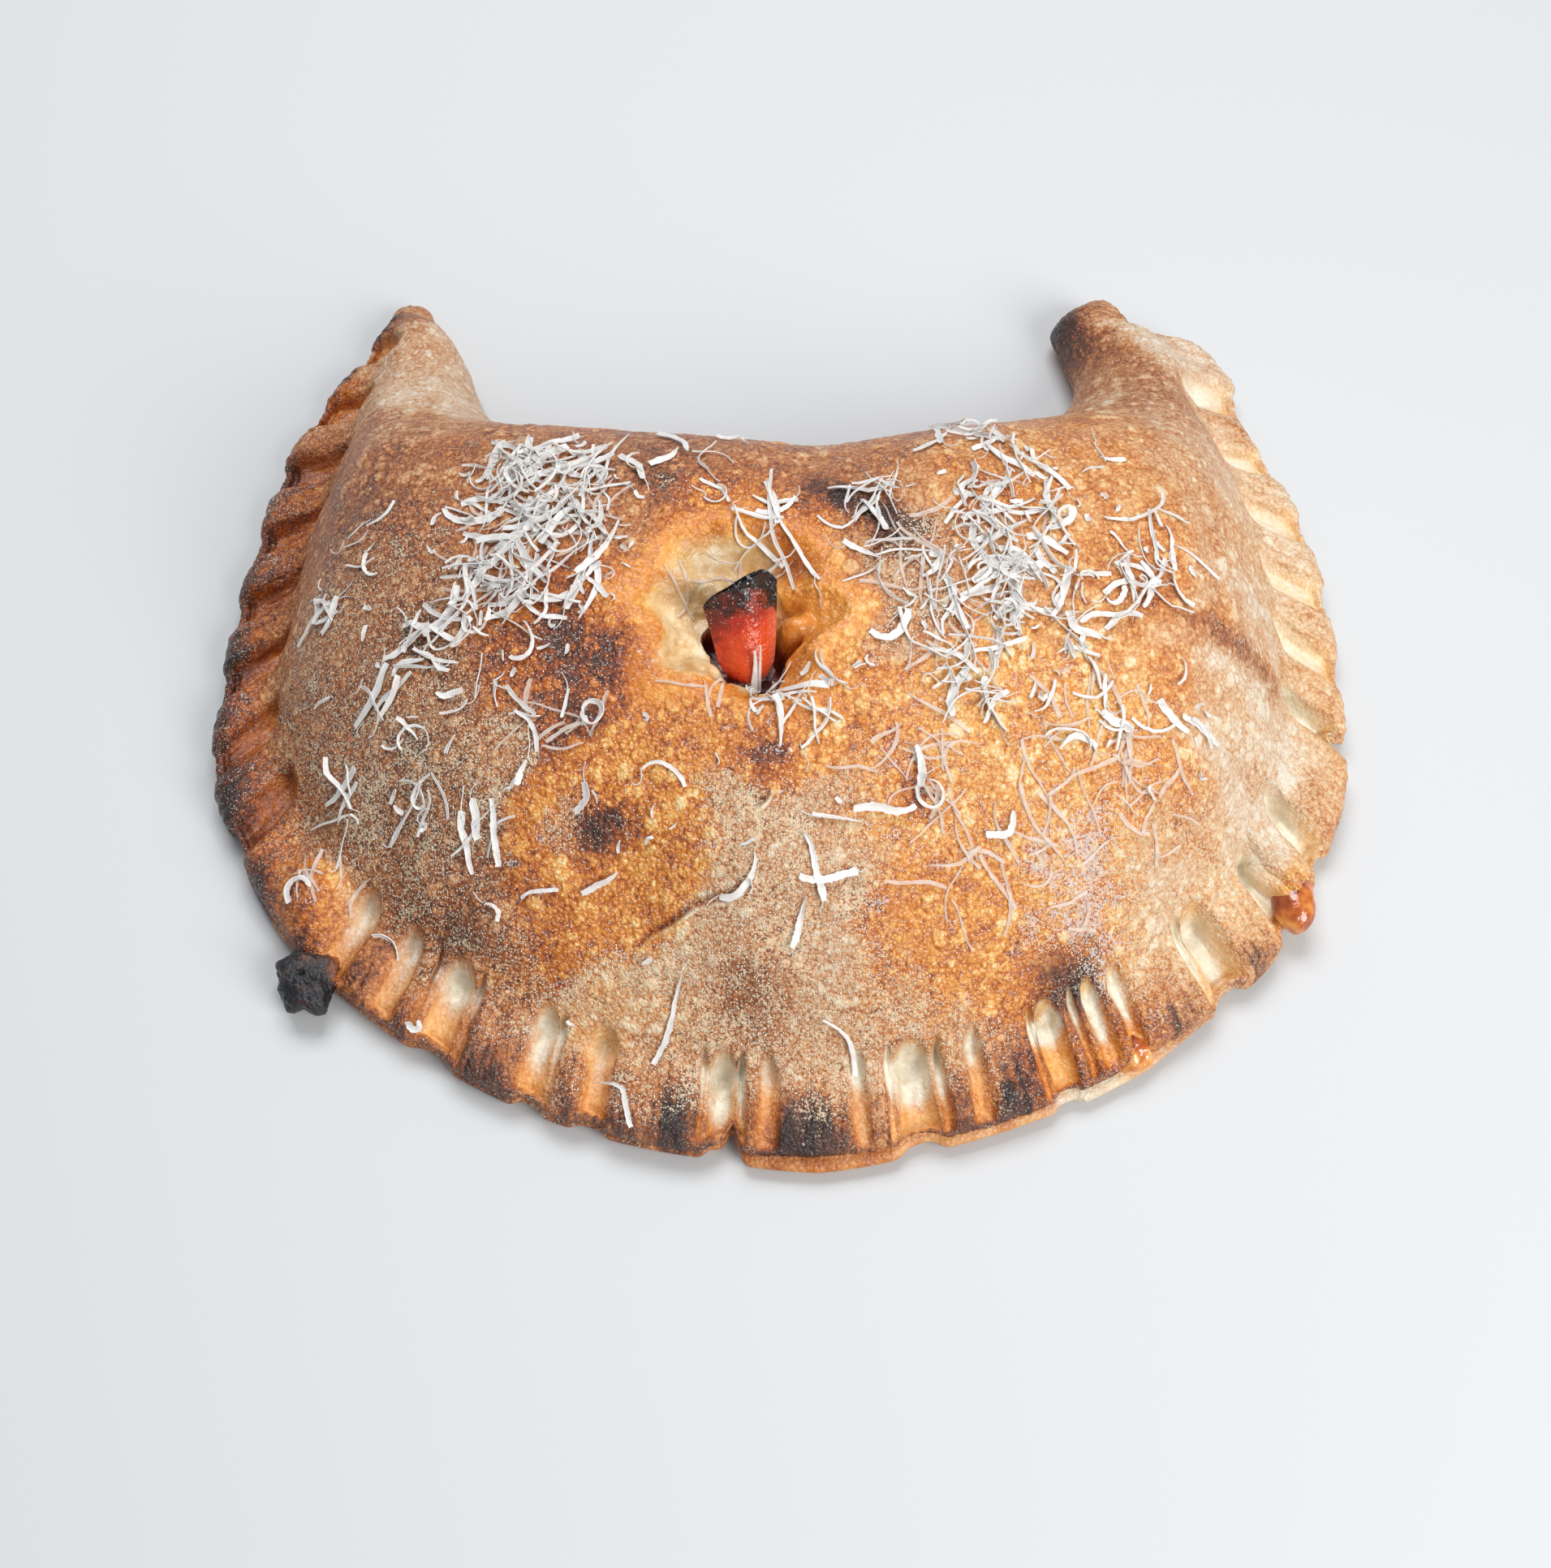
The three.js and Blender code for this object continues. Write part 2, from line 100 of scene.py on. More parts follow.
def cellNumber(cell, salt):
    # a fixed number in [0, 1) for each whole-numbered cell, by multiplying and folding its three coordinates
    cell = cell.astype(np.uint64)
    mix = cell[..., 0] * 73856093 ^ cell[..., 1] * 19349663 ^ cell[..., 2] * 83492791
    mix = mix ^ np.uint64(salt * 40503)
    for shift, factor in ((15, 2246822519), (13, 3266489917)):
        mix = (mix ^ (mix >> np.uint64(shift))) * np.uint64(factor) & np.uint64(0xFFFFFFFF)
    return (mix ^ (mix >> np.uint64(16))) / 2.0 ** 32


def softNoise(points, size, salt):
    # random numbers on a cubic lattice of that size, blended between its corners by 3s^2 - 2s^3; from -1 to 1
    at = points / size + latticeShift
    cell = np.floor(at)
    part = smooth01(at - cell)
    total = 0
    for corner in np.ndindex(2, 2, 2):
        weight = np.prod(np.where(corner, part, 1 - part), axis=-1)
        total = total + weight * cellNumber(cell + corner, salt)
    return 2 * total - 1


def softNoise3(points, size, salt):
    return np.stack([softNoise(points, size, salt + k) for k in range(3)], -1)


def beads(points, size, salt):
    # caps (1 - (r / reach)^2)^0.6 about one random centre in each cube of that size, the highest at each
    # point; a cap with more reach is higher too; also the cap's own random number
    at = points / size + latticeShift
    cell = np.floor(at - 0.5)
    best, own = np.zeros(at.shape[:-1]), np.zeros(at.shape[:-1])
    for corner in np.ndindex(2, 2, 2):
        here = cell + corner
        centre = here + 0.5 + 0.6 * (np.stack([cellNumber(here, salt + k) for k in range(3)], -1) - 0.5)
        share = cellNumber(here, salt + 3)
        reach = 0.3 + 0.38 * share ** 3
        cap = clamp01(1 - (((at - centre) / reach[..., None]) ** 2).sum(-1)) ** 0.6 * (0.3 + 0.7 * share ** 2)
        own = np.where(cap > best, cellNumber(here, salt + 4), own)
        best = np.maximum(best, cap)
    return best, own


def awayFromLine(x, y, line):
    # distance in plan to a line of points, negative on the right of its direction, and the share of it passed
    best, side, share = np.full(x.shape, 1e9), np.zeros(x.shape), np.zeros(x.shape)
    line = np.array(line, float)
    for i, ((ax, ay), (bx, by)) in enumerate(zip(line[:-1], line[1:])):
        dx, dy = bx - ax, by - ay
        s = clamp01(((x - ax) * dx + (y - ay) * dy) / (dx * dx + dy * dy))
        gapX, gapY = x - ax - s * dx, y - ay - s * dy
        gap = np.hypot(gapX, gapY)
        nearer = gap < best
        best = np.where(nearer, gap, best)
        side = np.where(nearer, np.sign(dx * gapY - dy * gapX), side)
        share = np.where(nearer, (i + s) / (len(line) - 1), share)
    return best * side, share


def newPiece(name, vertices, faces, material, slotName, fields=None, normals=None, uv=None, sharp=None):
    # vertices in millimetres, faces as blocks of equal-sided rows
    mesh = bpy.data.meshes.new(name)
    vertices = np.asarray(vertices, float).reshape(-1, 3) * mm
    sizes = np.concatenate([np.full(len(block), block.shape[1]) for block in faces])
    corners = np.concatenate([np.asarray(block).reshape(-1) for block in faces]).astype(np.int32)
    mesh.vertices.add(len(vertices))
    mesh.vertices.foreach_set("co", vertices.astype(np.float32).ravel())
    mesh.loops.add(len(corners))
    mesh.loops.foreach_set("vertex_index", corners)
    mesh.polygons.add(len(sizes))
    mesh.polygons.foreach_set("loop_start", (np.cumsum(sizes) - sizes).astype(np.int32))
    mesh.polygons.foreach_set("use_smooth", np.ones(len(sizes), bool))
    mesh.update(calc_edges=True)
    for field, values in (fields or {}).items():
        layer = mesh.attributes.new(field, "FLOAT", "POINT")
        layer.data.foreach_set("value", np.asarray(values, np.float32).ravel())
    if uv is not None:
        mesh.uv_layers.new(name="UVMap").data.foreach_set("uv", uv[corners].astype(np.float32).ravel())
    if sharp is not None:
        mesh.set_sharp_from_angle(angle=math.radians(sharp))
    if normals is not None:
        mesh.normals_split_custom_set_from_vertices(np.asarray(normals, float).reshape(-1, 3).tolist())
    mesh.validate()
    mesh.materials.append(material)
    piece = bpy.data.objects.new(name, mesh)
    bpy.context.scene.collection.objects.link(piece)
    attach(piece, "root")
    print(f"{name}: {len(vertices)} points, {int((sizes - 2).sum())} triangles")
    return piece


def gridFaces(columns, rows, wrapRows=False):
    # quads between neighbours of a grid of points stored column by column, facing columns x rows
    i = np.arange(columns - 1)[:, None] * rows
    k = np.arange(rows if wrapRows else rows - 1)[None, :]
    kNext = (k + 1) % rows
    quad = [i + k, i + rows + k, i + rows + kNext, i + kNext]
    return np.stack(np.broadcast_arrays(*quad), -1).reshape(-1, 4)


def closedTube(rings):
    # faces between the rings of a columns x rows grid that wraps round its rows, with a fan to a hub at
    # either end
    columns, rows = rings.shape[:2]
    k = np.arange(rows)
    after = (k + 1) % rows
    last = (columns - 1) * rows
    first = np.stack([k, after, np.full(rows, columns * rows)], -1)
    end = np.stack([last + after, last + k, np.full(rows, columns * rows + 1)], -1)
    hubs = np.stack([rings[0].mean(0), rings[-1].mean(0)])
    faces = [gridFaces(columns, rows, wrapRows=True)[:, ::-1], first, end]
    return np.concatenate([rings.reshape(-1, 3), hubs]), faces


def gridNormals(points):
    # cross product of the steps along the columns and along the rows, which wrap round
    alongColumns = np.gradient(points, axis=0)
    alongRows = np.roll(points, -1, axis=1) - np.roll(points, 1, axis=1)
    normal = np.cross(alongColumns, alongRows)
    return normal / np.maximum(np.linalg.norm(normal, axis=-1, keepdims=True), 1e-9)


def linearColour(red, green, blue):
    # screen values 0 to 255 to the shader's linear ones
    value = np.array([red, green, blue]) / 255
    value = np.where(value <= 0.04045, value / 12.92, ((value + 0.055) / 1.055) ** 2.4)
    return (*value.tolist(), 1.0)


class Nodes:
    # a material being wired up; sizes and depths are in millimetres
    def __init__(self, name):
        self.material = bpy.data.materials.new(name)
        self.material.use_nodes = True
        self.tree = self.material.node_tree
        self.shader = self.tree.nodes["Principled BSDF"]
        self.place = self.node("TexCoord").outputs["Object"]

    def node(self, kind):
        return self.tree.nodes.new("ShaderNode" + kind)

    def link(self, source, socket):
        # a source is another node's socket, a number, or a screen colour from 0 to 255
        if hasattr(source, "is_output"):
            self.tree.links.new(source, socket)
        else:
            socket.default_value = linearColour(*source) if isinstance(source, tuple) else source

    def maths(self, operation, first, second, clamped=False):
        node = self.node("Math")
        node.operation, node.use_clamp = operation, clamped
        self.link(first, node.inputs[0])
        self.link(second, node.inputs[1])
        return node.outputs[0]

    def times(self, first, second):
        return self.maths("MULTIPLY", first, second)

    def plus(self, *terms, clamped=False):
        # each term is a socket, a number, or a (socket, factor, middle) row for (socket - middle) * factor
        total = 0.0
        for term in terms:
            if isinstance(term, tuple):
                socket, factor, middle = term
                term = self.times(self.maths("SUBTRACT", socket, middle), factor)
            total = self.maths("ADD", total, term, clamped)
        return total

    def field(self, name):
        node = self.node("Attribute")
        node.attribute_name = name
        return node.outputs["Fac"]

    def noise(self, size, detail=3, roughness=0.6, at=None):
        node = self.node("TexNoise")
        node.inputs["Scale"].default_value = 1 / (size * mm)
        node.inputs["Detail"].default_value = detail
        node.inputs["Roughness"].default_value = roughness
        self.link(at or self.place, node.inputs["Vector"])
        return node.outputs["Fac"]

    def cells(self, size, at=None):
        # distance to the nearest cell middle and the cell's own random number
        node = self.node("TexVoronoi")
        node.inputs["Scale"].default_value = 1 / (size * mm)
        self.link(at or self.place, node.inputs["Vector"])
        split = self.node("SeparateColor")
        self.link(node.outputs["Color"], split.inputs[0])
        return node.outputs["Distance"], split.outputs[0]

    def warped(self, size, reach):
        # the object's coordinates pushed about by noise
        push = self.node("VectorMath")
        push.operation = "MULTIPLY_ADD"
        self.link(self.noise(size, 2, 0.5).node.outputs["Color"], push.inputs[0])
        push.inputs[1].default_value = (reach * mm,) * 3
        self.link(self.place, push.inputs[2])
        return push.outputs[0]

    def uvStretched(self, along, across):
        # the piece's own UV map with its two directions scaled
        source = self.node("UVMap")
        source.uv_map = "UVMap"
        node = self.node("Mapping")
        node.inputs["Scale"].default_value = (along, across, 1)
        self.link(source.outputs["UV"], node.inputs["Vector"])
        return node.outputs["Vector"]

    def ramp(self, factor, stops):
        node = self.node("ValToRGB")
        elements = node.color_ramp.elements
        while len(elements) < len(stops):
            elements.new(0.5)
        for element, (at, colour) in zip(elements, stops):
            element.position, element.color = at, linearColour(*colour)
        self.link(factor, node.inputs[0])
        return node.outputs[0]

    def mix(self, factor, first, second):
        node = self.node("Mix")
        node.data_type = "RGBA"
        for source, index in ((factor, 0), (first, 6), (second, 7)):   # the colour sockets are 6 and 7
            self.link(source, node.inputs[index])
        return node.outputs[2]

    def between(self, value, low, high, toLow=0.0, toHigh=1.0):
        node = self.node("MapRange")
        node.interpolation_type = "SMOOTHSTEP"
        for source, socket in zip((value, low, high, toLow, toHigh), node.inputs):
            self.link(source, socket)
        return node.outputs[0]

    def bump(self, height, depth, strength):
        node = self.node("Bump")
        node.inputs["Strength"].default_value = strength
        node.inputs["Distance"].default_value = depth * mm
        self.link(height, node.inputs["Height"])
        return node.outputs[0]

    def finish(self, colour, roughness, normal, **constants):
        self.link(colour, self.shader.inputs["Base Color"])
        self.link(roughness, self.shader.inputs["Roughness"])
        if normal is not None:
            self.link(normal, self.shader.inputs["Normal"])
        for socket, value in constants.items():
            self.shader.inputs[socket.replace("_", " ")].default_value = value
        return self.material


# The folded dough has the same sections as the solid, with fine relief on top.
dough = {
    "centre": (0.4, 5.8),
    "frontRadius": 116, "sideRadius": 126,
    "leftTip": -137, "rightTip": 143, "tipInset": 0.15, "leftReach": 13, "rightReach": 6,
    "swellings": [[-133, 4, 1.5], [-117, 11, 3.2], [-76, 8, 3.2], [-60, 13, 3.2], [57, 12, 3.2], [75, 8, 2],
                  [112, 12, 2.5], [126, 3.5, 6], [131.3, 3.6, 8]],
    "foldLine": [[-137, -91.5, 104.5], [-135.4, -87.2, 101.2], [-132, -82.6, 95.3], [-127, -78.6, 87.3],
                 [-120, -74.1, 75.8], [-110, -67.1, 63.3], [-92, -53.1, 53.3], [-45, -28.1, 49.3],
                 [0, -2.1, 46.8], [14, 6.9, 45.8], [45, 25.9, 50.3], [92, 48.9, 56.3], [110, 59.9, 63.8],
                 [119, 67.4, 73.3], [126, 70.2, 82.8], [133, 67.4, 94.8], [138, 65.9, 103], [143, 72.5, 109]],
    "crowns": [
        [-137, 7], [-131, 15], [-124, 18], [-117, 23], [-108, 31], [-95, 42], [-75, 49], [-40, 54.5],
        [0, 56], [40, 54.5], [75, 50], [95, 43], [108, 34], [118, 27], [126, 22], [132, 18], [138, 15],
        [143, 9],
    ],
    # finger and fork crimps: turn, depth, half width in degrees, how pale its inside is and from how far in
    "crimps": [
        [-50, 2.2, 1.6, 0.5, 6], [-43.5, 2.4, 1.5, 0.45, 6], [-37, 3.6, 2.2, 0.7, 8],
        [-26, 3.2, 1.5, 0.6, 5], [-19.3, 2.8, 1.6, 0.2, 5], [-6, 4.2, 1.5, 0.8, 2.5],
        [-1.2, 2, 1, 0.45, 12], [8.5, 1.6, 0.9, 0.8, 11], [14.4, 4.2, 2, 1, 6.5], [21.2, 2.2, 1.1, 0.7, 12],
        [30, 3, 1.4, 0.9, 10], [35.4, 2, 1, 0.8, 5], [38.6, 2, 0.9, 0.7, 5], [49.8, 5, 1.8, 0.6, 1.5],
        [58.9, 4.8, 1.5, 0.8, 2], [67, 4.6, 1.6, 0.9, 2], [80.3, 4.5, 1.4, 1, 1.5],
        [-4.0, 2.4, 0.5, 0.8, 5], [-8.1, 1.8, 0.45, 0.6, 8], [17.3, 2.4, 0.55, 0.8, 7],
        [11.9, 2, 0.5, 0.9, 9], [28.1, 1.8, 0.45, 0.7, 11], [47.4, 2.2, 0.5, 0.8, 5], [61, 2, 0.5, 0.7, 6],
        [-34.2, 1.8, 0.5, 0.5, 9], [-39.8, 1.8, 0.5, 0.4, 9], [-24.1, 1.6, 0.5, 0.5, 6],
        [33.2, 1.5, 0.4, 0.6, 8],
    ],
    "sideCrimps": {"every": 8.7, "depth": 3, "halfWidth": 2, "paleFrom": 2.5,
                   "left": (-67.5, -129, 0.12), "right": (89, 125, 0.5)},     # first and last turn, how pale
    "splits": [[-4.6, 5, 0.8], [80.5, 3, 1], [136.3, 2.5, 1]],
    "flange": 17, "flangeTop": 8.5, "crease": 5, "creaseRound": 4, "edgeRound": 3.5, "edgeFade": 2,
    "crimpSink": 1.15, "crimpPull": 0.5, "pullFrom": 2.5,     # crimps deeper than this draw the edge in
    "crimpEnd": (3.5, 2.6, 2.6),     # how far past the flange, faded over what length, its rounding
    "crimpDeeper": (0.35, 6),        # what its depth gains by the end of the flange, over what length
    "crimpNarrow": (0.6, 0.5),       # share of its width at the edge, and what the flange adds
    "paleFade": (3, 9),              # how far before its own distance the pale inside starts, and its fade
    "foldRound": 30, "equator": 0.32, "tuck": 12, "domeEase": 2.5, "toe": 7,
    # the most of a section's length that each may take, and for flangeTop of its height
    "atMost": {"flange": 0.33, "edgeRound": 0.15, "foldRound": 0.4, "tuck": 0.3, "toe": 0.2, "pull": 0.3,
               "flangeTop": 0.7},
    "lip": [[-7, 0.6], [-3, 1.6], [4, 2.8], [10, 2], [15, 1.1], [26, 1.1], [32, 1.9], [39, 2.2], [45, 0.6]],
    "lipNose": 2.7, "lipSeam": (0.9, 4.15), "dimpleFade": 6,
    "dimples": [
        [-34, -60, 15, -3], [-67, -42, 18, 2], [-5, -62, 14, 2], [28, -46, 15, -1.5], [64, -48, 16, 1.5],
        [-28, 20, 14, 1.5], [7, 27, 12, -2.5], [40, 25, 16, 1], [-98.6, -55, 8, 3], [109.5, -53, 5, 4],
    ],
}
vent = {
    "ripple": 0.14, "lobes": 5, "rippleTurn": 0.7,
    "craterCentre": (-10, -13), "craterRadius": (18, 14),
    "craterKnots": ([0.5, 0.76, 1.0, 1.25, 2.5], [46, 48.45, 53, 61, 110]),
    "pocketCentre": (-7, -16.5), "pocketRadius": (9.6, 9),
    "pocketKnots": ([0.8, 0.95, 1.0, 1.2, 2.5], [34, 40, 48, 60, 150]),
    # shallow bowls behind and before the pocket: x, y, radii, depth of the middle and rise to the edge
    "bowls": [[-9, -1, 13, 7.5, 47.5, 5.5], [-6, -24.5, 9, 5.5, 45.5, 4]],
    # torn dough that bulges into the crater: x, y, z, then radii
    "lobesOfDough": [
        [-18.4, -22.4, 44.4, 5.6, 4.6, 4.6], [7.4, -21.8, 44.6, 4.8, 4, 4.8], [4, -12, 46.6, 5, 4, 4.6],
        [-16, -3, 46.2, 6, 3.6, 4], [0.5, -3.6, 46.6, 5, 3.6, 4],
    ],
    "reach": 42,                                               # nothing farther from the crater changes
    "wobble": [(6, 0.06), (2.4, 0.035)], "bend": (4, 0.9),     # size and height of the noise on its edges
    # softness of the meets, slope beyond a lobe, and how far torn dough may stand above the crust
    "meet": 1.2, "tightMeet": 0.5, "lobeFall": 8, "mostRise": 0.4,
}
# rows of points: round the upper edge, across the flange, up the dome, over the fold, under it, base, toe
# and lip of the lower sheet
detail = {
    "columns": 1100, "edge": 8, "flange": 40, "dome": 198, "fold": 60, "tuck": 16, "base": 8, "toe": 7,
    "lip": 6,
}


def crimpRows():
    side = dough["sideCrimps"]
    rows = list(dough["crimps"])
    for start, stop, pale in (side["left"], side["right"]):
        step = side["every"] * np.sign(stop - start)
        turns = np.arange(start, stop + step * 0.01, step)
        rows += [[turn, side["depth"], side["halfWidth"], pale, side["paleFrom"]] for turn in turns]
    return rows


def deepest(rows, turns, shape=bell):
    # the largest of depth * shape(turn - at, width) over the rows
    return np.max([depth * shape(turns - at, width) for at, depth, width in rows], axis=0)


def edgeLine(turns):
    # a circle about the centre whose radius grows with sin^2 of the turn to the sides and with a cube past 90
    # degrees to the horn tips, plus bell-shaped swellings
    side = np.abs(turns)
    tip = np.where(turns < 0, -dough["leftTip"], dough["rightTip"])
    reach = np.where(turns < 0, dough["leftReach"], dough["rightReach"])
    sideways = np.sin(np.radians(np.minimum(side, 90))) ** 2
    radius = dough["frontRadius"] + (dough["sideRadius"] - dough["frontRadius"]) * sideways
    radius = radius + reach * np.maximum(0, (side - 90) / (tip - 90)) ** 3
    for at, width, height in dough["swellings"]:
        radius = radius + height * bell(turns - at, width)
    angle = np.radians(turns)
    x, y = dough["centre"]
    return np.stack([x + radius * np.sin(angle), y - radius * np.cos(angle)], -1)


def steps(count, last=False):
    # evenly from 0 towards 1, which is the last of them if asked for
    return np.arange(count + last)[None, :] / count


def sectionProfile(turns, length, crown):
    # distance in from the edge and height, one closed section for each turn: a rounded edge, the flange, a
    # dome rising as 1 - (1 - s)^ease, a quarter ellipse over the fold, another under it, a flat base, and two
    # quarter ellipses for the lower sheet's lip
    def held(name, total=length):
        return np.minimum(dough[name], dough["atMost"][name] * total)

    band, edgeRound, foldRound = held("flange"), held("edgeRound"), held("foldRound")
    tuck, heel, flangeTop = held("tuck"), held("toe"), held("flangeTop", crown)
    equator = dough["equator"] * crown
    quarter = np.pi / 2
    edgeAngle = quarter * steps(detail["edge"])
    foldAngle = quarter * steps(detail["fold"], last=True)
    distance = np.concatenate([
        edgeRound * (1 - np.cos(edgeAngle)),
        edgeRound + (band - edgeRound) * steps(detail["flange"]),
        band + (length - foldRound - band) * steps(detail["dome"]),
        length - foldRound + foldRound * np.sin(foldAngle),
    ], axis=1)
    beyond = (np.hypot(distance - band, dough["creaseRound"]) + distance - band) / 2
    rise = 1 - (1 - clamp01(beyond / (length - band - foldRound))) ** dough["domeEase"]
    height = flangeTop + (crown - flangeTop) * rise
    atEdge = distance < edgeRound
    inward = np.where(atEdge, 1 - distance / edgeRound, 0)
    rounded = dough["crease"] + (flangeTop - dough["crease"]) * np.sqrt(1 - inward ** 2)
    height = np.where(atEdge, rounded, height)
    overFold = clamp01((distance - length + foldRound) / foldRound)
    height = equator + (height - equator) * np.sqrt(1 - overFold ** 2)
    topCount = distance.shape[1]

    under = quarter * steps(detail["tuck"], last=True)[:, 1:]
    toe = quarter * steps(detail["toe"], last=True)[:, 1:]
    nose = quarter * steps(detail["lip"], last=True)[:, 1:]
    lip = np.interp(turns, *np.array(dough["lip"]).T)[:, None]
    seam, seamTop = dough["lipSeam"]
    flat = np.zeros_like(length)
    distance = np.concatenate([
        distance,
        length - tuck * (1 - np.cos(under)),
        length - tuck + (heel - length + tuck) * steps(detail["base"], last=True)[:, 1:],
        heel - (heel + lip) * np.sin(toe),
        -lip + (lip + seam) * (1 - np.cos(nose)),
    ], axis=1)
    height = np.concatenate([
        height,
        equator * (1 - np.sin(under)),
        flat + np.zeros((1, detail["base"])),
        flat + dough["lipNose"] * (1 - np.cos(toe)),
        flat + dough["lipNose"] + (seamTop - dough["lipNose"]) * np.sin(nose),
    ], axis=1)
    return distance, height, topCount, band, foldRound


def crimpShares(rows, turns, distance, band, topCount):
    # how much of its depth a crimp has: smooth steps up from the edge and down at its rounded inner end; and
    # how pale it is inside, a bell across it that a smooth step brings in
    beyondBand, endFade, endRound = dough["crimpEnd"]
    offset = np.min([np.abs(turns - row[0]) / row[2] for row in rows], axis=0)[:, None]
    end = band + beyondBand - endRound * clamp01(offset) ** 3
    share = smooth01(distance / dough["edgeFade"]) * smooth01((end - distance) / endFade)
    gain, gainOver = dough["crimpDeeper"]
    share *= 1 + gain * smooth01((distance - band + gainOver) / gainOver)
    share[:, topCount:] = 0
    widthAtEdge, widthGain = dough["crimpNarrow"]
    narrowing = widthAtEdge + widthGain * clamp01(distance / band)
    before, fade = dough["paleFade"]
    inside = np.max([pale * bell(turns[:, None] - at, width * narrowing)
                     * smooth01((distance - start + before) / fade)
                     for at, _, width, pale, start in rows], axis=0)
    return share, inside * share


def doughGrid():
    # sections side by side from tip to tip, each laid straight from the crimped edge to the fold; crimps sink
    # it, deep ones and splits draw its edge in, and dips and swellings are bells added to its height
    turns = np.linspace(dough["leftTip"] + dough["tipInset"], dough["rightTip"] - dough["tipInset"],
                        detail["columns"])
    front, back = edgeLine(turns), alongKnots(dough["foldLine"], turns)
    length = np.linalg.norm(back - front, axis=1)[:, None]
    crown = alongKnots(dough["crowns"], turns)
    distance, height, topCount, band, foldRound = sectionProfile(turns, length, crown)
    rows = crimpRows()
    crimp = deepest([row[:3] for row in rows], turns, squareBell)[:, None]
    deeper = deepest([row[:3] for row in rows if row[1] > dough["pullFrom"]], turns, squareBell)[:, None]
    pull = dough["crimpPull"] * deeper + deepest(dough["splits"], turns)[:, None]
    pull = np.minimum(pull, dough["atMost"]["pull"] * length)
    crimpShare, inside = crimpShares(rows, turns, distance, band, topCount)
    height = height - dough["crimpSink"] * crimp * crimpShare
    share = ((distance + pull * clamp01(1 - distance / band)) / length)[..., None]
    plan = front[:, None] + (back - front)[:, None] * share
    points = np.concatenate([plan, height[..., None]], -1)

    overFold = clamp01((distance - length + foldRound) / foldRound)
    free = smooth01(distance / dough["dimpleFade"]) * np.sqrt(1 - overFold)
    free[:, topCount:] = 0
    for x, y, radius, swell in dough["dimples"]:
        points[..., 2] += swell * free * bell(np.hypot(points[..., 0] - x, points[..., 1] - y), radius)
    return {"turns": turns[:, None] + 0 * distance, "distance": distance, "points": points, "top": topCount,
            "crimp": crimp * crimpShare, "inside": inside}


def bowlShare(points, centre, radii):
    # how far out a point is, 1 on a rippled ellipse
    across, along = (points[..., 0] - centre[0]) / radii[0], (points[..., 1] - centre[1]) / radii[1]
    ripple = 1 + vent["ripple"] * np.sin(vent["lobes"] * np.arctan2(along, across) + vent["rippleTurn"])
    return np.hypot(across, along) / ripple


def carveVent(points, top):
    # the crust's height, no higher than the crater's and the pocket's at that share of their radii, and no
    # lower than the rounded torn ends; gives back both shares
    x, y, z = (points[:, :top, k] for k in range(3))
    near = np.hypot(x - vent["craterCentre"][0], y - vent["craterCentre"][1]) < vent["reach"]
    p = points[:, :top][near]
    flat = p * [1, 1, 0]
    wobble = sum(height * softNoise(flat, size, 31 + k) for k, (size, height) in enumerate(vent["wobble"]))
    crater = bowlShare(p, vent["craterCentre"], vent["craterRadius"]) + wobble
    pocket = bowlShare(p, vent["pocketCentre"], vent["pocketRadius"]) + 0.5 * wobble
    bendSize, bendReach = vent["bend"]
    bent = p + bendReach * softNoise3(p, bendSize, 33)
    carved = softMin(p[:, 2], np.interp(crater, *vent["craterKnots"]), vent["meet"])
    for atX, atY, radiusX, radiusY, middle, rise in vent["bowls"]:
        away = ((bent[:, 0] - atX) / radiusX) ** 2 + ((bent[:, 1] - atY) / radiusY) ** 2
        carved = softMin(carved, middle + rise * away, vent["meet"])
    carved = softMin(carved, np.interp(pocket, *vent["pocketKnots"]), vent["tightMeet"])
    for atX, atY, atZ, radiusX, radiusY, radiusZ in vent["lobesOfDough"]:
        inside = 1 - ((bent[:, 0] - atX) / radiusX) ** 2 - ((bent[:, 1] - atY) / radiusY) ** 2
        bulge = np.where(inside > 0, radiusZ * np.sqrt(np.maximum(inside, 0)), vent["lobeFall"] * inside)
        carved = softMax(carved, atZ + bulge, vent["tightMeet"])
    z[near] = np.minimum(carved, p[:, 2] + vent["mostRise"])
    shares = np.full((2, *points.shape[:2]), 9.0)   # far outside both, apart from the points near them
    shares[0][:, :top][near], shares[1][:, :top][near] = crater, pocket
    return shares


print("dough: sections")
grid = doughGrid()
smoothPoints, top = grid["points"], grid["top"]
extent = smoothPoints.reshape(-1, 3).min(0), smoothPoints.reshape(-1, 3).max(0)
lowCorner, highCorner = (np.array(corner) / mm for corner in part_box("crust"))
toFrame = (lowCorner + highCorner - extent[0] - extent[1]) / 2 * [1, 1, 0]   # from the sections to the frame
craterShare, pocketShare = carveVent(smoothPoints, top)


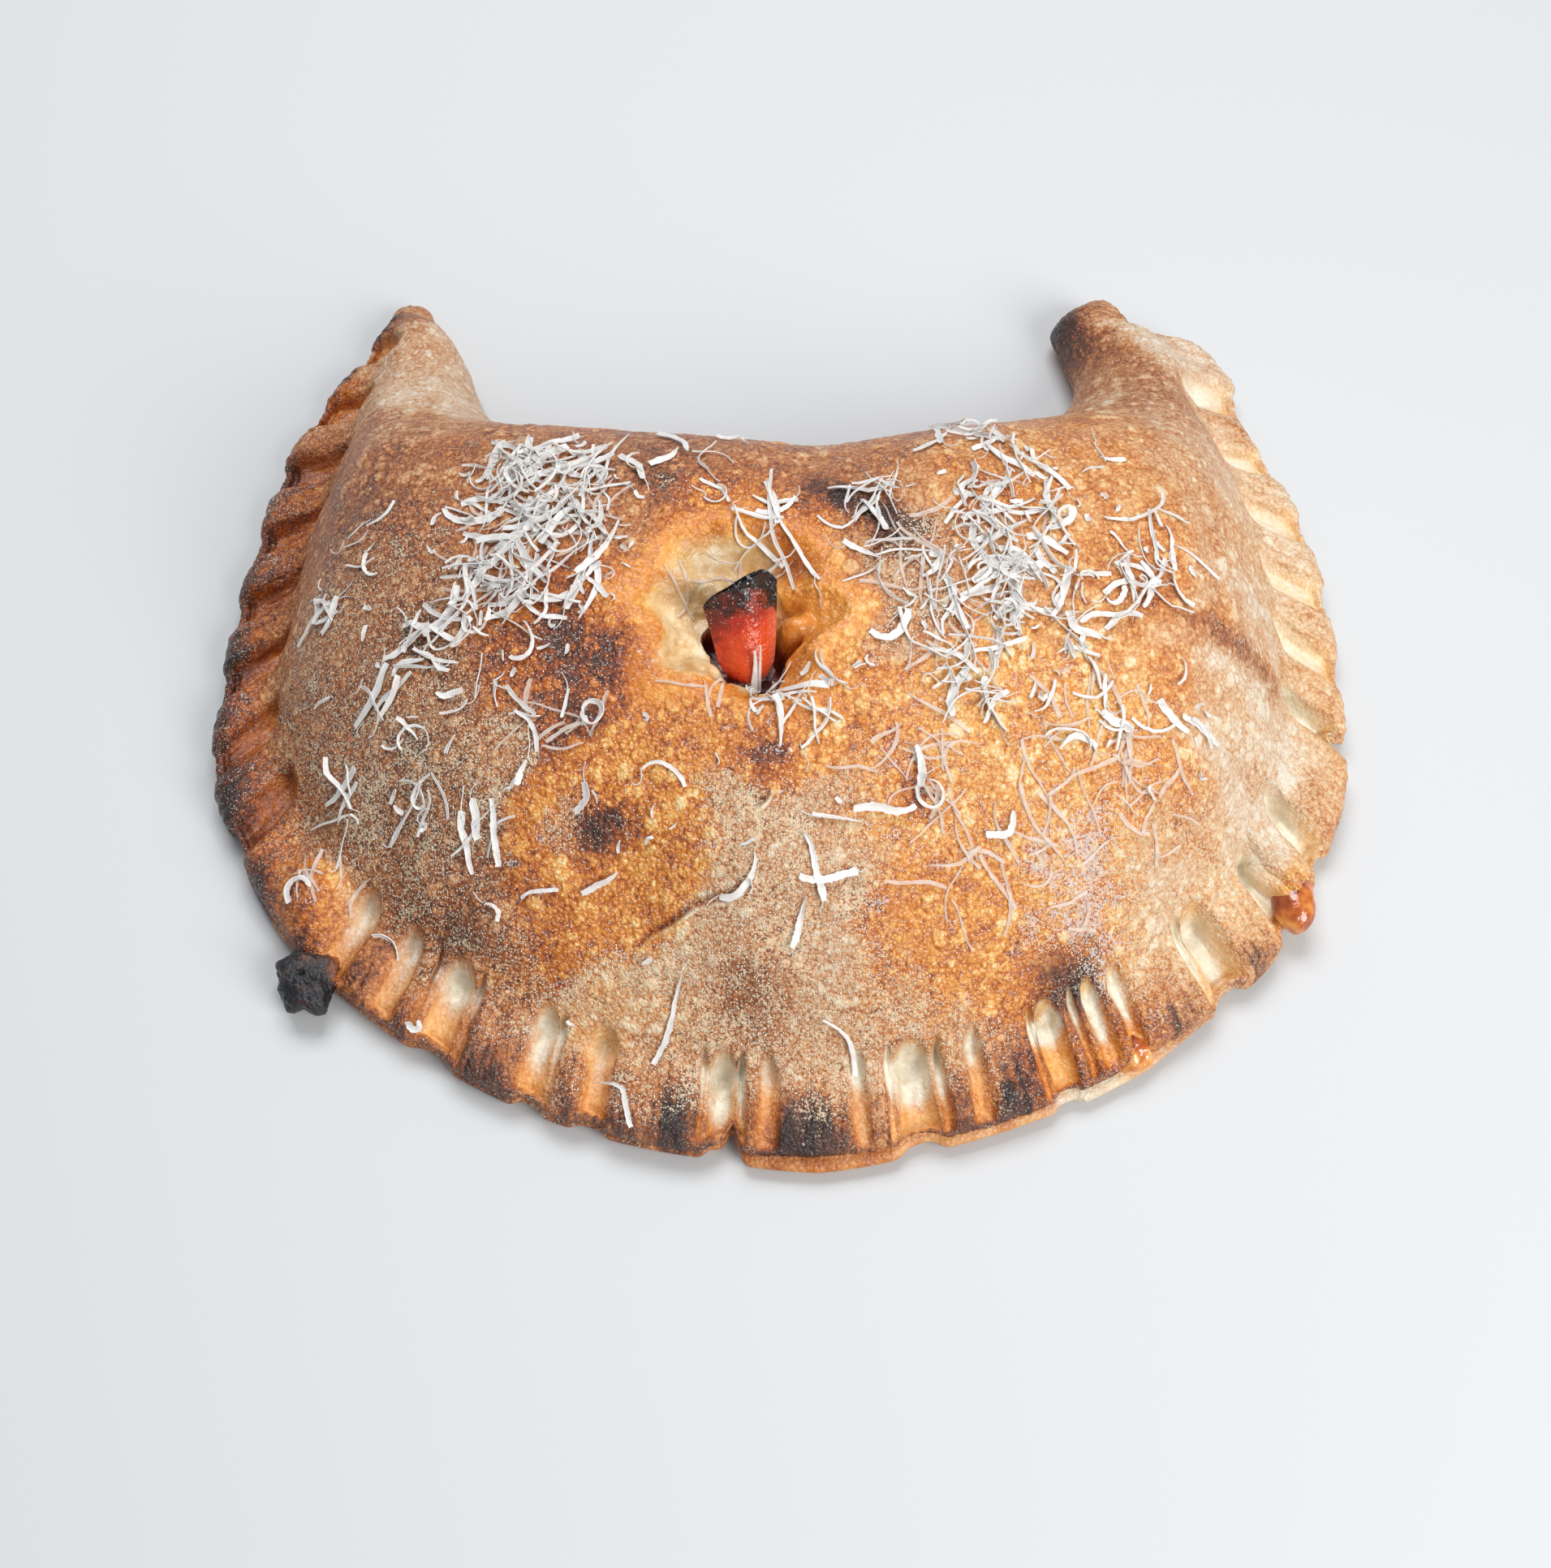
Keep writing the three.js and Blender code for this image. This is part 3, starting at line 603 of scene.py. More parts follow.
# How far each place is baked: toast runs from 0 pale to 1 dark brown, and also holds painted shade behind the
# cracks and just behind the sausage slice; oil runs from dry to wet; the flour field is flour that stayed dry
# together with painted sparkle and sheen; burnt is char; pale is dough the heat didn't reach, and also
# painted light along the cracks' raised lips.
bake = {
    "plain": (0.46, 0.4, 0.2),
    "wander": [(9, 4.5), (3, 2.2)],     # sizes and reach of the noise that bends the zones' borders
    "steady": 0.4,                      # share of that bend which the spots follow
    "blotches": (26, 9, 3.6),           # large, middle and small soft noise
    "streak": (0.34, 5),                # across in degrees and along
    "rim": (19, 5), "rimSpread": 1.15,  # how far in the rim reaches and its fade; how far its spots spread
    "darkEdge": (-34, 92, -62),         # turn of its middle, reach, and where it is darkest beyond
    "lip": (17, 24, 26),                # turn of its middle, reach, and where it is pale beyond
    # the vent: share of the crater's radius that looks torn and its fade, the bowl behind it, the ring round
    # both, where the dough turns amber and its fade, height below which the pocket's wall is darker
    "crater": (1.14, 0.32), "bowl": (-9.5, -0.5, 14, 7.5, 0.3), "ring": (1.2, 0.24), "amber": (-5, 9),
    "darkerBelow": 45.5,
    # ellipses laid one over another: x, y, reach in x and y, softness of the border, toast, oil, flour with
    # painted sheen
    "zones": [
        [0, 42, 95, 26, 0.5, 0.51, 0.4, 0.1], [-60, 12, 44, 44, 0.5, 0.52, 0.4, 0.15],
        [-94, 10, 20, 50, 0.5, 0.6, 0.35, 0.12], [-88, -20, 22, 34, 0.35, 0.6, 0.3, 0.42],
        [80, 0, 54, 64, 0.3, 0.38, 0.55, 0.12], [98, -10, 18, 52, 0.4, 0.3, 0.4, 0.12],
        [100, 46, 24, 36, 0.4, 0.34, 0.3, 0.0], [-80, 84, 26, 30, 0.5, 0.28, 0.05, 0.0],
        [84, 76, 24, 22, 0.5, 0.5, 0.25, 0.0], [-72, -44, 19, 23, 0.3, 0.62, 0.25, 0.62],
        [-62, -67, 15, 14, 0.35, 0.63, 0.35, 0.45], [-50, -80, 20, 12, 0.4, 0.5, 0.45, 0.4],
        [1, -60, 23, 23, 0.45, 0.45, 0.25, 0.85], [4, -84, 34, 16, 0.35, 0.4, 0.3, 0.85],
        [-20, -85, 26, 14, 0.3, 0.38, 0.3, 0.8], [-34, -91, 18, 9, 0.35, 0.44, 0.35, 0.6],
        [32, -86, 16, 11, 0.35, 0.42, 0.4, 0.65], [26, -4, 8, 17, 0.35, 0.46, 0.3, 0.6],
        [48, -42, 35, 29, 0.3, 0.3, 0.75, 0.25], [38, -68, 20, 14, 0.3, 0.4, 0.9, 0.15],
        [-14, -36, 33, 11, 0.3, 0.4, 0.85, 0.1], [-43, -24, 19, 22, 0.3, 0.58, 0.8, 0.08],
        [-36, -55, 19.5, 20.5, 0.22, 0.42, 1.0, 0.05], [-57, -36, 8, 7, 0.3, 0.54, 0.3, 0.65],
        # the second zone here, on the right front, is mostly painted sparkle and sheen in the flour field
        [-43, -51, 5, 5, 0.35, 0.46, 0.4, 0.6], [66, -61, 17, 13, 0.4, 0.36, 0.85, 0.95],
        [12, -22, 9, 10, 0.35, 0.32, 0.9, 0.1], [-9, 10, 17, 9, 0.35, 0.5, 0.7, 0.1],
        [-36, -86, 10, 6, 0.45, 0.26, 0.4, 0.3], [-98.6, -55.1, 7, 7, 0.35, 0.22, 0.7, 0.0],
        [-99.5, -55.5, 2.6, 3, 0.5, 0.42, 0.9, 0.0], [105.2, -46.4, 5, 5, 0.4, 0.24, 0.9, 0.2],
        [86, -56, 16, 20, 0.4, 0.22, 0.4, 0.4], [106, -24, 14, 24, 0.4, 0.14, 0.2, 0.3],
        [108, 20, 12, 28, 0.4, 0.24, 0.3, 0.1],
    ],
    # darker places: x, y, radius, more toast, char
    "spots": [
        [-36.5, -52.6, 5.6, 0.4, 0.68], [-33.5, -50.5, 3.5, 0.2, 0.3], [-3.8, -41.2, 4.6, 0.25, 0.25],
        [27.1, -46, 4.2, 0.3, 0.35], [5, 19, 3.6, 0.3, 0.6], [10, 16.2, 4, 0.3, 0.95],
        [15.5, 13.3, 3.6, 0.3, 0.7], [20, 10.6, 4.8, 0.3, 0.85], [25, 8, 3.6, 0.25, 0.5],
        [21, 3, 7, 0.22, 0.12], [-44.1, -16.6, 4.4, 0.25, 0.35], [-65.2, -66.9, 6, 0.18, 0.42],
        [-6.4, -82.5, 9, 0.2, 0.4], [-10, -79, 4, 0.1, 0.25], [62.5, -75.2, 5.5, 0.34, 0.85],
        [56, -77.5, 5, 0.3, 0.5], [65, -69, 4, 0.2, 0.5], [88, -3, 4, 0.2, 0.1], [94, -4.4, 4, 0.28, 0.18],
        [100, -5.4, 4.5, 0.34, 0.25], [105.9, -5.8, 3.6, 0.25, 0.2], [-28.7, 22.1, 9, 0.14, 0.0],
        [-75.2, -12.8, 6, 0.16, 0.15], [-85.7, -71.3, 6, 0.18, 0.12], [-53.1, -59.9, 4, 0.16, 0.12],
        [-77, -33, 4, 0.14, 0.0], [-20, -34, 6, 0.16, 0.05], [-92, 20, 9, 0.1, 0.0],
        [102, -30, 7, 0.12, 0.0], [62, 28, 8, 0.08, 0.0], [-60, 48, 9, 0.1, 0.0], [30, 46, 10, 0.1, 0.0],
        [-20, 46, 12, 0.08, 0.0], [66, 101, 6.5, 0.35, 0.95], [70, 93, 8, 0.3, 0.2],
        [-32, -22, 8, 0.24, 0.08], [48, -26, 6, 0.12, 0.0], [84, -42, 7, 0.14, 0.05],
        [-24, -38, 4, 0.12, 0.1], [43, 20, 6, 0.12, 0.0], [-93, 102, 7, 0.16, 0.1],
        [-96.5, 95, 5, 0.2, 0.2], [-44, -29, 8, 0.14, 0.0], [-77, -47, 12, 0.08, 0.0],
        [-79, -63, 8, 0.1, 0.0],
    ],
    # burnt places on the rim: turn, distance in from the edge, half width in degrees, reach, char
    "rimSpots": [
        [-33, 3.5, 2.0, 5, 0.8], [-29.6, 2, 1.6, 4, 0.6], [-10.2, 5, 2.4, 6.5, 1.0],
        [1.8, 2.8, 4.0, 5, 1.0], [4.5, 7, 2.4, 6, 0.6], [18.4, 4, 1.8, 4.5, 0.55], [24.9, 4.5, 2.1, 6, 0.9],
        [27, 9, 1.6, 5, 0.4], [3.2, 4, 2.6, 5, 0.9], [-19, 5, 2.4, 7, 0.32], [43.8, 3, 2.8, 4, 0.5],
        [53.6, 2.4, 2.2, 3.4, 0.6], [-48.2, 4, 2.4, 5, 0.45], [-41, 3, 1.4, 4, 0.4], [-16, 3, 1.5, 4, 0.45],
        [-22.6, 3, 1.3, 4, 0.5], [-71, 3, 3, 5.5, 1.0], [-62.2, 1.6, 2.6, 4, 0.8], [-111.4, 1, 2, 2.6, 0.7],
        [-97.2, 1, 2, 3, 0.65], [-87.8, 2.6, 2.2, 4, 0.75], [-80.4, 2, 2, 4, 0.7],
        [-124.6, 1.2, 1.4, 2.4, 0.8], [-132.4, 1, 1.8, 4, 0.9], [-103.5, 1, 1.4, 2.4, 0.6],
        [11, 2.6, 1.4, 3, 0.45], [33, 2.6, 1.2, 3, 0.4], [-54.5, 2, 2, 4, 0.5], [-118, 1, 1.4, 2.4, 0.5],
        [38.5, 7, 1.1, 2, 0.55], [61.4, 0.6, 3, 1.3, 0.35],
    ],
    # stretches of the rim: turn, half width, how far in it reaches, toast, oil, strength
    "rimBands": [
        [-4, 44, 13, 0.56, 0.4, 0.7], [-88, 34, 14, 0.66, 0.7, 0.8], [-55, 7, 13, 0.5, 0.6, 0.6],
        [9, 4, 16, 0.32, 0.35, 0.75], [43, 5, 14, 0.27, 0.35, 0.8], [104, 24, 17, 0.16, 0.3, 0.85],
        [80, 10, 14, 0.2, 0.4, 0.8], [33, 9, 12, 0.5, 0.8, 0.7], [53, 7, 14, 0.22, 0.45, 0.8],
        [61.3, 3, 5, 0.36, 1.0, 0.8], [67, 4, 9, 0.2, 0.5, 0.7], [-122, 9, 24, 0.36, 0.2, 0.6],
        [-121, 2.5, 8, 0.56, 1.0, 0.6], [129, 6, 24, 0.12, 0.1, 0.8], [72, 3, 10, 0.42, 0.4, 0.6],
        [121, 2, 8, 0.42, 0.3, 0.6], [-121, 3, 9, 0.5, 1.0, 0.5],
    ],
}
relief = {
    "lumps": [(26, 0.5), (10, 0.34), (4.5, 0.17)],     # size and height
    "beads": [(3.0, 0.55), (1.5, 0.24)],
    "torn": [(4, 0.5), (1.5, 0.22), (0.8, 0.1)],       # size and height inside the vent
    "ridges": {"every": 1.05, "height": 0.2},          # fine creases pressed into the flange, in degrees
    # cracks in the skin: how far the near lip stands up, how deep it is behind, length of the lip, and the
    # points of the line in plan
    "cracks": [
        (1.2, 0.8, 2.2,
         [(-29, -73.5), (-26.4, -71.3), (-21.5, -69.6), (-17, -67.2), (-9.3, -66), (-5.2, -63.2)]),
        (0.9, 0.6, 1.2, [(-5.6, -51.2), (-3.2, -49.6), (-2, -47.2)]),
    ],
    # blown places on the rim: x, y, radius, height
    "bumps": [[105.2, -46.4, 4.5, 1.8], [-98.6, -55.1, 5.5, 1.4]],
    "leftLobes": {"turn": -92, "reach": 36, "height": 1.3},
}


def plateau(points, x, y, reachX, reachY, soft):
    # 1 inside an ellipse and 0 outside, passing over by 3s^2 - 2s^3 across a border of that softness
    away = np.hypot((points[..., 0] - x) / reachX, (points[..., 1] - y) / reachY)
    return smooth01((1 + soft - away) / (2 * soft))


def skinPlaces(points, grid):
    # what the baking goes by at each point: its place, soft noise in three sizes, streaks in from the edge
    x, y, z = (points[..., k] for k in range(3))
    large, mid, small = (softNoise(points, size, 1 + k) for k, size in enumerate(bake["blotches"]))
    alongEdge, inwards = bake["streak"]
    streak = softNoise(np.stack([grid["turns"] / alongEdge, grid["distance"] / inwards, 0 * x], -1), 1, 12)
    rimEnd, rimFade = bake["rim"]
    onRim = smooth01((rimEnd - grid["distance"]) / rimFade) * (np.arange(x.shape[1]) < top)
    return SimpleNamespace(points=points, x=x, y=y, z=z, turns=grid["turns"], inFrom=grid["distance"],
                           large=large, mid=mid, small=small, streak=streak, onRim=onRim)


def bakeZones(skin):
    # zones laid one over another and then spots as bells, on coordinates that soft noise bends
    wander = skin.points
    for k, (size, reach) in enumerate(bake["wander"]):
        wander = wander + reach * softNoise3(skin.points, size, 41 + 3 * k)
    toastAndShade, oil, flourAndSheen = (value + 0 * skin.x for value in bake["plain"])
    for atX, atY, reachX, reachY, soft, *targets in bake["zones"]:
        share = plateau(wander, atX, atY, reachX, reachY, soft)
        toastAndShade, oil, flourAndSheen = (towards(old, new, share) for old, new in zip((toastAndShade, oil, flourAndSheen), targets))
    toastAndShade = toastAndShade + 0.06 * skin.large + 0.06 * skin.mid + 0.05 * skin.small
    oil = clamp01(oil + 0.12 * skin.mid + 0.1 * skin.small)
    flourAndSheen = clamp01(flourAndSheen + flourAndSheen * (0.25 * skin.mid + 0.25 * skin.small))
    burnt = np.zeros(skin.x.shape)
    upper = smooth01((skin.z - 2) / 4)
    steady = towards(skin.points, wander, bake["steady"])
    for atX, atY, radius, more, char in bake["spots"]:
        near = bell(np.hypot(steady[..., 0] - atX, steady[..., 1] - atY), radius) * upper
        toastAndShade, burnt = toastAndShade + more * near, np.maximum(burnt, char * near)
    return SimpleNamespace(toastAndShade=toastAndShade, oil=oil, flourAndSheen=flourAndSheen, burnt=burnt)


def bakeRim(skin, look):
    # bands draw the rim towards their own toast and oil; streaks run in from the edge, burnt places are
    # bells, and the outermost edge is dark, most of all on the left
    for turn, width, reach, toastAndShade, oil, strength in bake["rimBands"]:
        inReach = smooth01((reach + 3 - skin.inFrom + 1.5 * skin.mid) / 6)
        share = strength * squareBell(skin.turns - turn, width) * inReach
        look.toastAndShade, look.oil = towards(look.toastAndShade, toastAndShade, share), towards(look.oil, oil, share)
    look.toastAndShade = look.toastAndShade + 0.1 * skin.streak * skin.onRim
    spread = bake["rimSpread"]
    for turn, reach, width, depth, char in bake["rimSpots"]:
        along = bell(skin.turns - turn + 0.7 * skin.small + 0.4 * skin.mid, width * spread)
        near = along * bell(skin.inFrom - reach + skin.mid, depth * spread)
        look.toastAndShade = look.toastAndShade + 0.3 * char * near
        look.burnt = np.maximum(look.burnt, char * near * (1 + 0.6 * skin.streak))
    middle, reach, darkest = bake["darkEdge"]
    left = smooth01((darkest - skin.turns) / 12)
    edge = bell(skin.inFrom - 0.4, 1.5 + 1.2 * left) * squareBell(skin.turns - middle, reach)
    edge = edge * (0.55 + 0.45 * skin.mid)
    look.toastAndShade = look.toastAndShade + 0.2 * edge * skin.onRim
    look.burnt = np.maximum(look.burnt, (0.3 + 0.5 * left) * edge * skin.onRim)


def bakeCrimps(skin, look, grid):
    # nothing burns in a crimp and no flour stays there; its inside is pale and dry, the rest of it oily
    crimped = clamp01(grid["crimp"] / 2.6)
    pale = clamp01(grid["inside"] * (1.15 + 0.35 * skin.mid + 0.4 * skin.streak + 0.2 * skin.small))
    look.toastAndShade = look.toastAndShade * (1 - 0.5 * crimped * smooth01((skin.turns + 66) / 6))
    look.burnt = look.burnt * (1 - 0.95 * crimped)
    look.oil = towards(look.oil, 0.65, 0.7 * crimped * (1 - pale))
    look.flourAndSheen = look.flourAndSheen * (1 - 0.8 * crimped)
    look.oil = look.oil * (1 - 0.6 * pale * skin.onRim)
    look.pale, look.smooth = pale, 0.7 * crimped * skin.onRim


def bakeLip(skin, look):
    # the lower sheet shows under the front right edge: toasted at its left, and pale towards its right
    middle, reach, paleFrom = bake["lip"]
    under = (np.arange(skin.x.shape[1]) >= top) & (skin.inFrom < 9)
    shown = under * squareBell(skin.turns - middle, reach)
    right = skin.turns - paleFrom
    look.toastAndShade = towards(look.toastAndShade, 0.4 - 0.22 * smooth01(right / 8) + 0.14 * skin.small, shown)
    look.oil = towards(look.oil, 0.5, shown)
    look.flourAndSheen, look.burnt = look.flourAndSheen * (1 - shown), look.burnt * (1 - shown)
    look.pale = np.maximum(look.pale, shown * (0.15 + 0.75 * smooth01(right / 6)))
    look.smooth = np.maximum(look.smooth, 0.8 * shown)


def bakeVent(skin, look):
    # a smooth oily ring round the crater; inside it the dough passes from pale at the left to amber at the
    # right, with painted shade just behind the sausage slice, and the pocket's wall is darker below a set
    # height
    x, y, mid = skin.x, skin.y, skin.mid
    tornTo, tornFade = bake["crater"]
    wander = skin.points + 1.5 * softNoise3(skin.points, 4, 47)
    inVent = np.maximum(smooth01((tornTo - craterShare) / tornFade), plateau(wander, *bake["bowl"]))
    ringAt, ringWidth = bake["ring"]
    ring = bell(np.hypot((x + 9) / 17, (y + 1) / 11) - 1, ringWidth)   # round the bowl, then round the crater
    ring = np.maximum(bell(craterShare - ringAt, ringWidth), ring)
    amberFrom, amberFade = bake["amber"]
    amber = smooth01((x - amberFrom + 2 * mid) / amberFade)
    # the bell about (-1, 1) is painted shade on the dough just behind the sausage slice
    inside = 0.16 + 0.24 * amber + 0.14 * mid + 0.1 * skin.small + 0.22 * bell(np.hypot(x + 1, y - 1), 6)
    look.toastAndShade = towards(towards(look.toastAndShade, 0.36 + 0.08 * mid, 0.7 * ring), inside, inVent)
    look.oil = towards(towards(look.oil, 0.9, ring), 0.8 + 0.2 * amber, inVent)
    look.pale = towards(look.pale, clamp01(0.8 - 1.1 * amber + 0.3 * mid), inVent)
    look.flourAndSheen = look.flourAndSheen * (1 - inVent) * (1 - 0.8 * ring)
    look.burnt = look.burnt * (1 - inVent)
    deep = smooth01((bake["darkerBelow"] - skin.z) / 2.5) * (pocketShare < 1.2)
    look.toastAndShade, look.oil = towards(look.toastAndShade, 0.8, deep), towards(look.oil, 1.0, deep)
    look.pale = look.pale * (1 - deep)
    look.smooth = np.maximum(look.smooth, np.maximum(inVent, 0.75 * ring))
    return inVent


def paintCrackLightAndShade(skin, look):
    # painted light along each crack's raised lip and painted shadow behind it, most in the middle of its
    # length
    for *_, line in relief["cracks"]:
        gap, share = awayFromLine(skin.x, skin.y, line)
        shown = np.sin(np.pi * np.clip(share, 0.02, 0.98)) ** 0.5 * (np.abs(gap) < 6)
        look.pale = np.maximum(look.pale, (0.75 + 0.4 * skin.small) * shown * bell(gap + 0.4, 0.45))
        look.toastAndShade = look.toastAndShade + 0.34 * shown * bell(gap - 0.5, 0.45)


print("dough: baking")
skin = skinPlaces(smoothPoints, grid)
look = bakeZones(skin)
bakeRim(skin, look)
bakeCrimps(skin, look, grid)
bakeLip(skin, look)
inVent = bakeVent(skin, look)
paintCrackLightAndShade(skin, look)
fields = {name: clamp01(value) for name, value in vars(look).items()}
streak = skin.streak * skin.onRim


def pebbles(points, plain):
    # the higher of two sizes of round beads at each point, the large ones in patches: their height, how far
    # up its bead a point is, and the bead's own shade
    wander = points + 0.5 * softNoise3(points, 2.2, 101)
    (sizeLarge, highLarge), (sizeSmall, highSmall) = relief["beads"]
    large, ownLarge = beads(wander, sizeLarge, 70)
    small, ownSmall = beads(wander, sizeSmall, 80)
    patchy = clamp01(0.6 + 0.6 * softNoise(points, 12, 90))
    ofLarge, ofSmall = highLarge * large * patchy, highSmall * small
    bead = clamp01(np.maximum(1.1 * large * patchy, 0.8 * small)) * plain
    return np.maximum(ofLarge, ofSmall) * plain, bead, np.where(ofLarge > ofSmall, ownLarge, ownSmall)


def addRelief(points, grid, normals):
    # lumps of soft noise, pebbles, ridges pressed into the flange, streaks, cracks, blown places and lobes of
    # the left edge, added up along the surface's normal; inside the vent only torn lumps
    x, y, z = (points[..., k] for k in range(3))
    turns, inFrom, crimp = grid["turns"], grid["distance"], grid["crimp"]
    shift = sum(height * softNoise(points, size, 60 + k) for k, (size, height) in enumerate(relief["lumps"]))
    smoothPlaces = (1 - clamp01(crimp / 1.6)) * (1 - 0.92 * inVent)
    raised, bead, shade = pebbles(points, smoothPlaces * (0.35 + 0.65 * smooth01((inFrom - 8) / 10)))
    shift = shift + raised
    ridge = np.sin(2 * np.pi * (turns + 0.4 * softNoise(points, 9, 91)) / relief["ridges"]["every"])
    pressed = smooth01((inFrom - 1) / 3) * smooth01((18 - inFrom) / 6)
    shift += relief["ridges"]["height"] * ridge * pressed * clamp01(0.5 + softNoise(points, 12, 92))
    shift += (0.22 + 0.2 * clamp01(crimp / 2)) * streak
    for lift, drop, reach, line in relief["cracks"]:
        gap, share = awayFromLine(x, y, line)
        ends = np.sin(np.pi * np.clip(share, 0, 1)) ** 0.7
        near = smooth01(0.5 - gap / 0.7) * np.exp(-np.maximum(-gap, 0) / reach)
        shift += ends * (lift * near - drop * bell(gap - 0.7, 0.6))
    for atX, atY, radius, height in relief["bumps"]:
        shift += height * bell(np.hypot(x - atX, y - atY), radius)
    lobes = relief["leftLobes"]
    lobed = lobes["height"] * squareBell(turns - lobes["turn"], lobes["reach"]) * bell(inFrom - 5, 5)
    shift += lobed * (1 - clamp01(crimp / 1.5))
    torn = sum(height * softNoise(points, size, 93 + k) for k, (size, height) in enumerate(relief["torn"]))
    shift = towards(shift, torn, inVent)
    upper = (np.arange(points.shape[1]) < top) * smooth01((z - 2) / 4)
    moved = points + normals * (shift * upper)[..., None]
    moved[..., 2] = np.maximum(moved[..., 2], 0)
    return moved, {"bead": bead, "shade": shade}


print("dough: relief")
crustPoints, beadFields = addRelief(smoothPoints, grid, gridNormals(smoothPoints))
fields.update(beadFields)
crustNormals = gridNormals(crustPoints)
crustPoints = crustPoints + toFrame


# colours of the dough by how far it is baked, 0 to 1, dry and oily; of its pale insides; of char; of flour,
# its grains that are also painted sparkle, a painted sky reflection on oily places, and painted glints
crustColours = {
    "dry": [(0.0, (232, 220, 202)), (0.18, (220, 195, 168)), (0.36, (204, 160, 122)), (0.52, (178, 117, 72)),
            (0.68, (140, 81, 46)), (0.84, (92, 53, 36)), (1.0, (54, 40, 38))],
    "wet": [(0.0, (246, 222, 174)), (0.18, (236, 182, 102)), (0.36, (220, 142, 58)), (0.52, (192, 106, 32)),
            (0.68, (150, 72, 24)), (0.84, (98, 44, 26)), (1.0, (54, 32, 26))],
    "dryPale": [(0.25, (206, 192, 160)), (0.5, (226, 217, 196)), (0.75, (238, 232, 216))],
    "wetPale": [(0.25, (192, 144, 88)), (0.5, (216, 180, 130)), (0.75, (234, 212, 172))],
    "char": [(0.3, (110, 54, 30)), (0.5, (80, 40, 26)), (0.72, (54, 28, 20)), (1.0, (38, 22, 20))],
    "flour": (216, 174, 132), "brightFlour": (242, 216, 178), "paintedSkyReflection": (228, 212, 206),
    "grainAndSparkle": (252, 240, 216), "glint": (255, 244, 220),
}


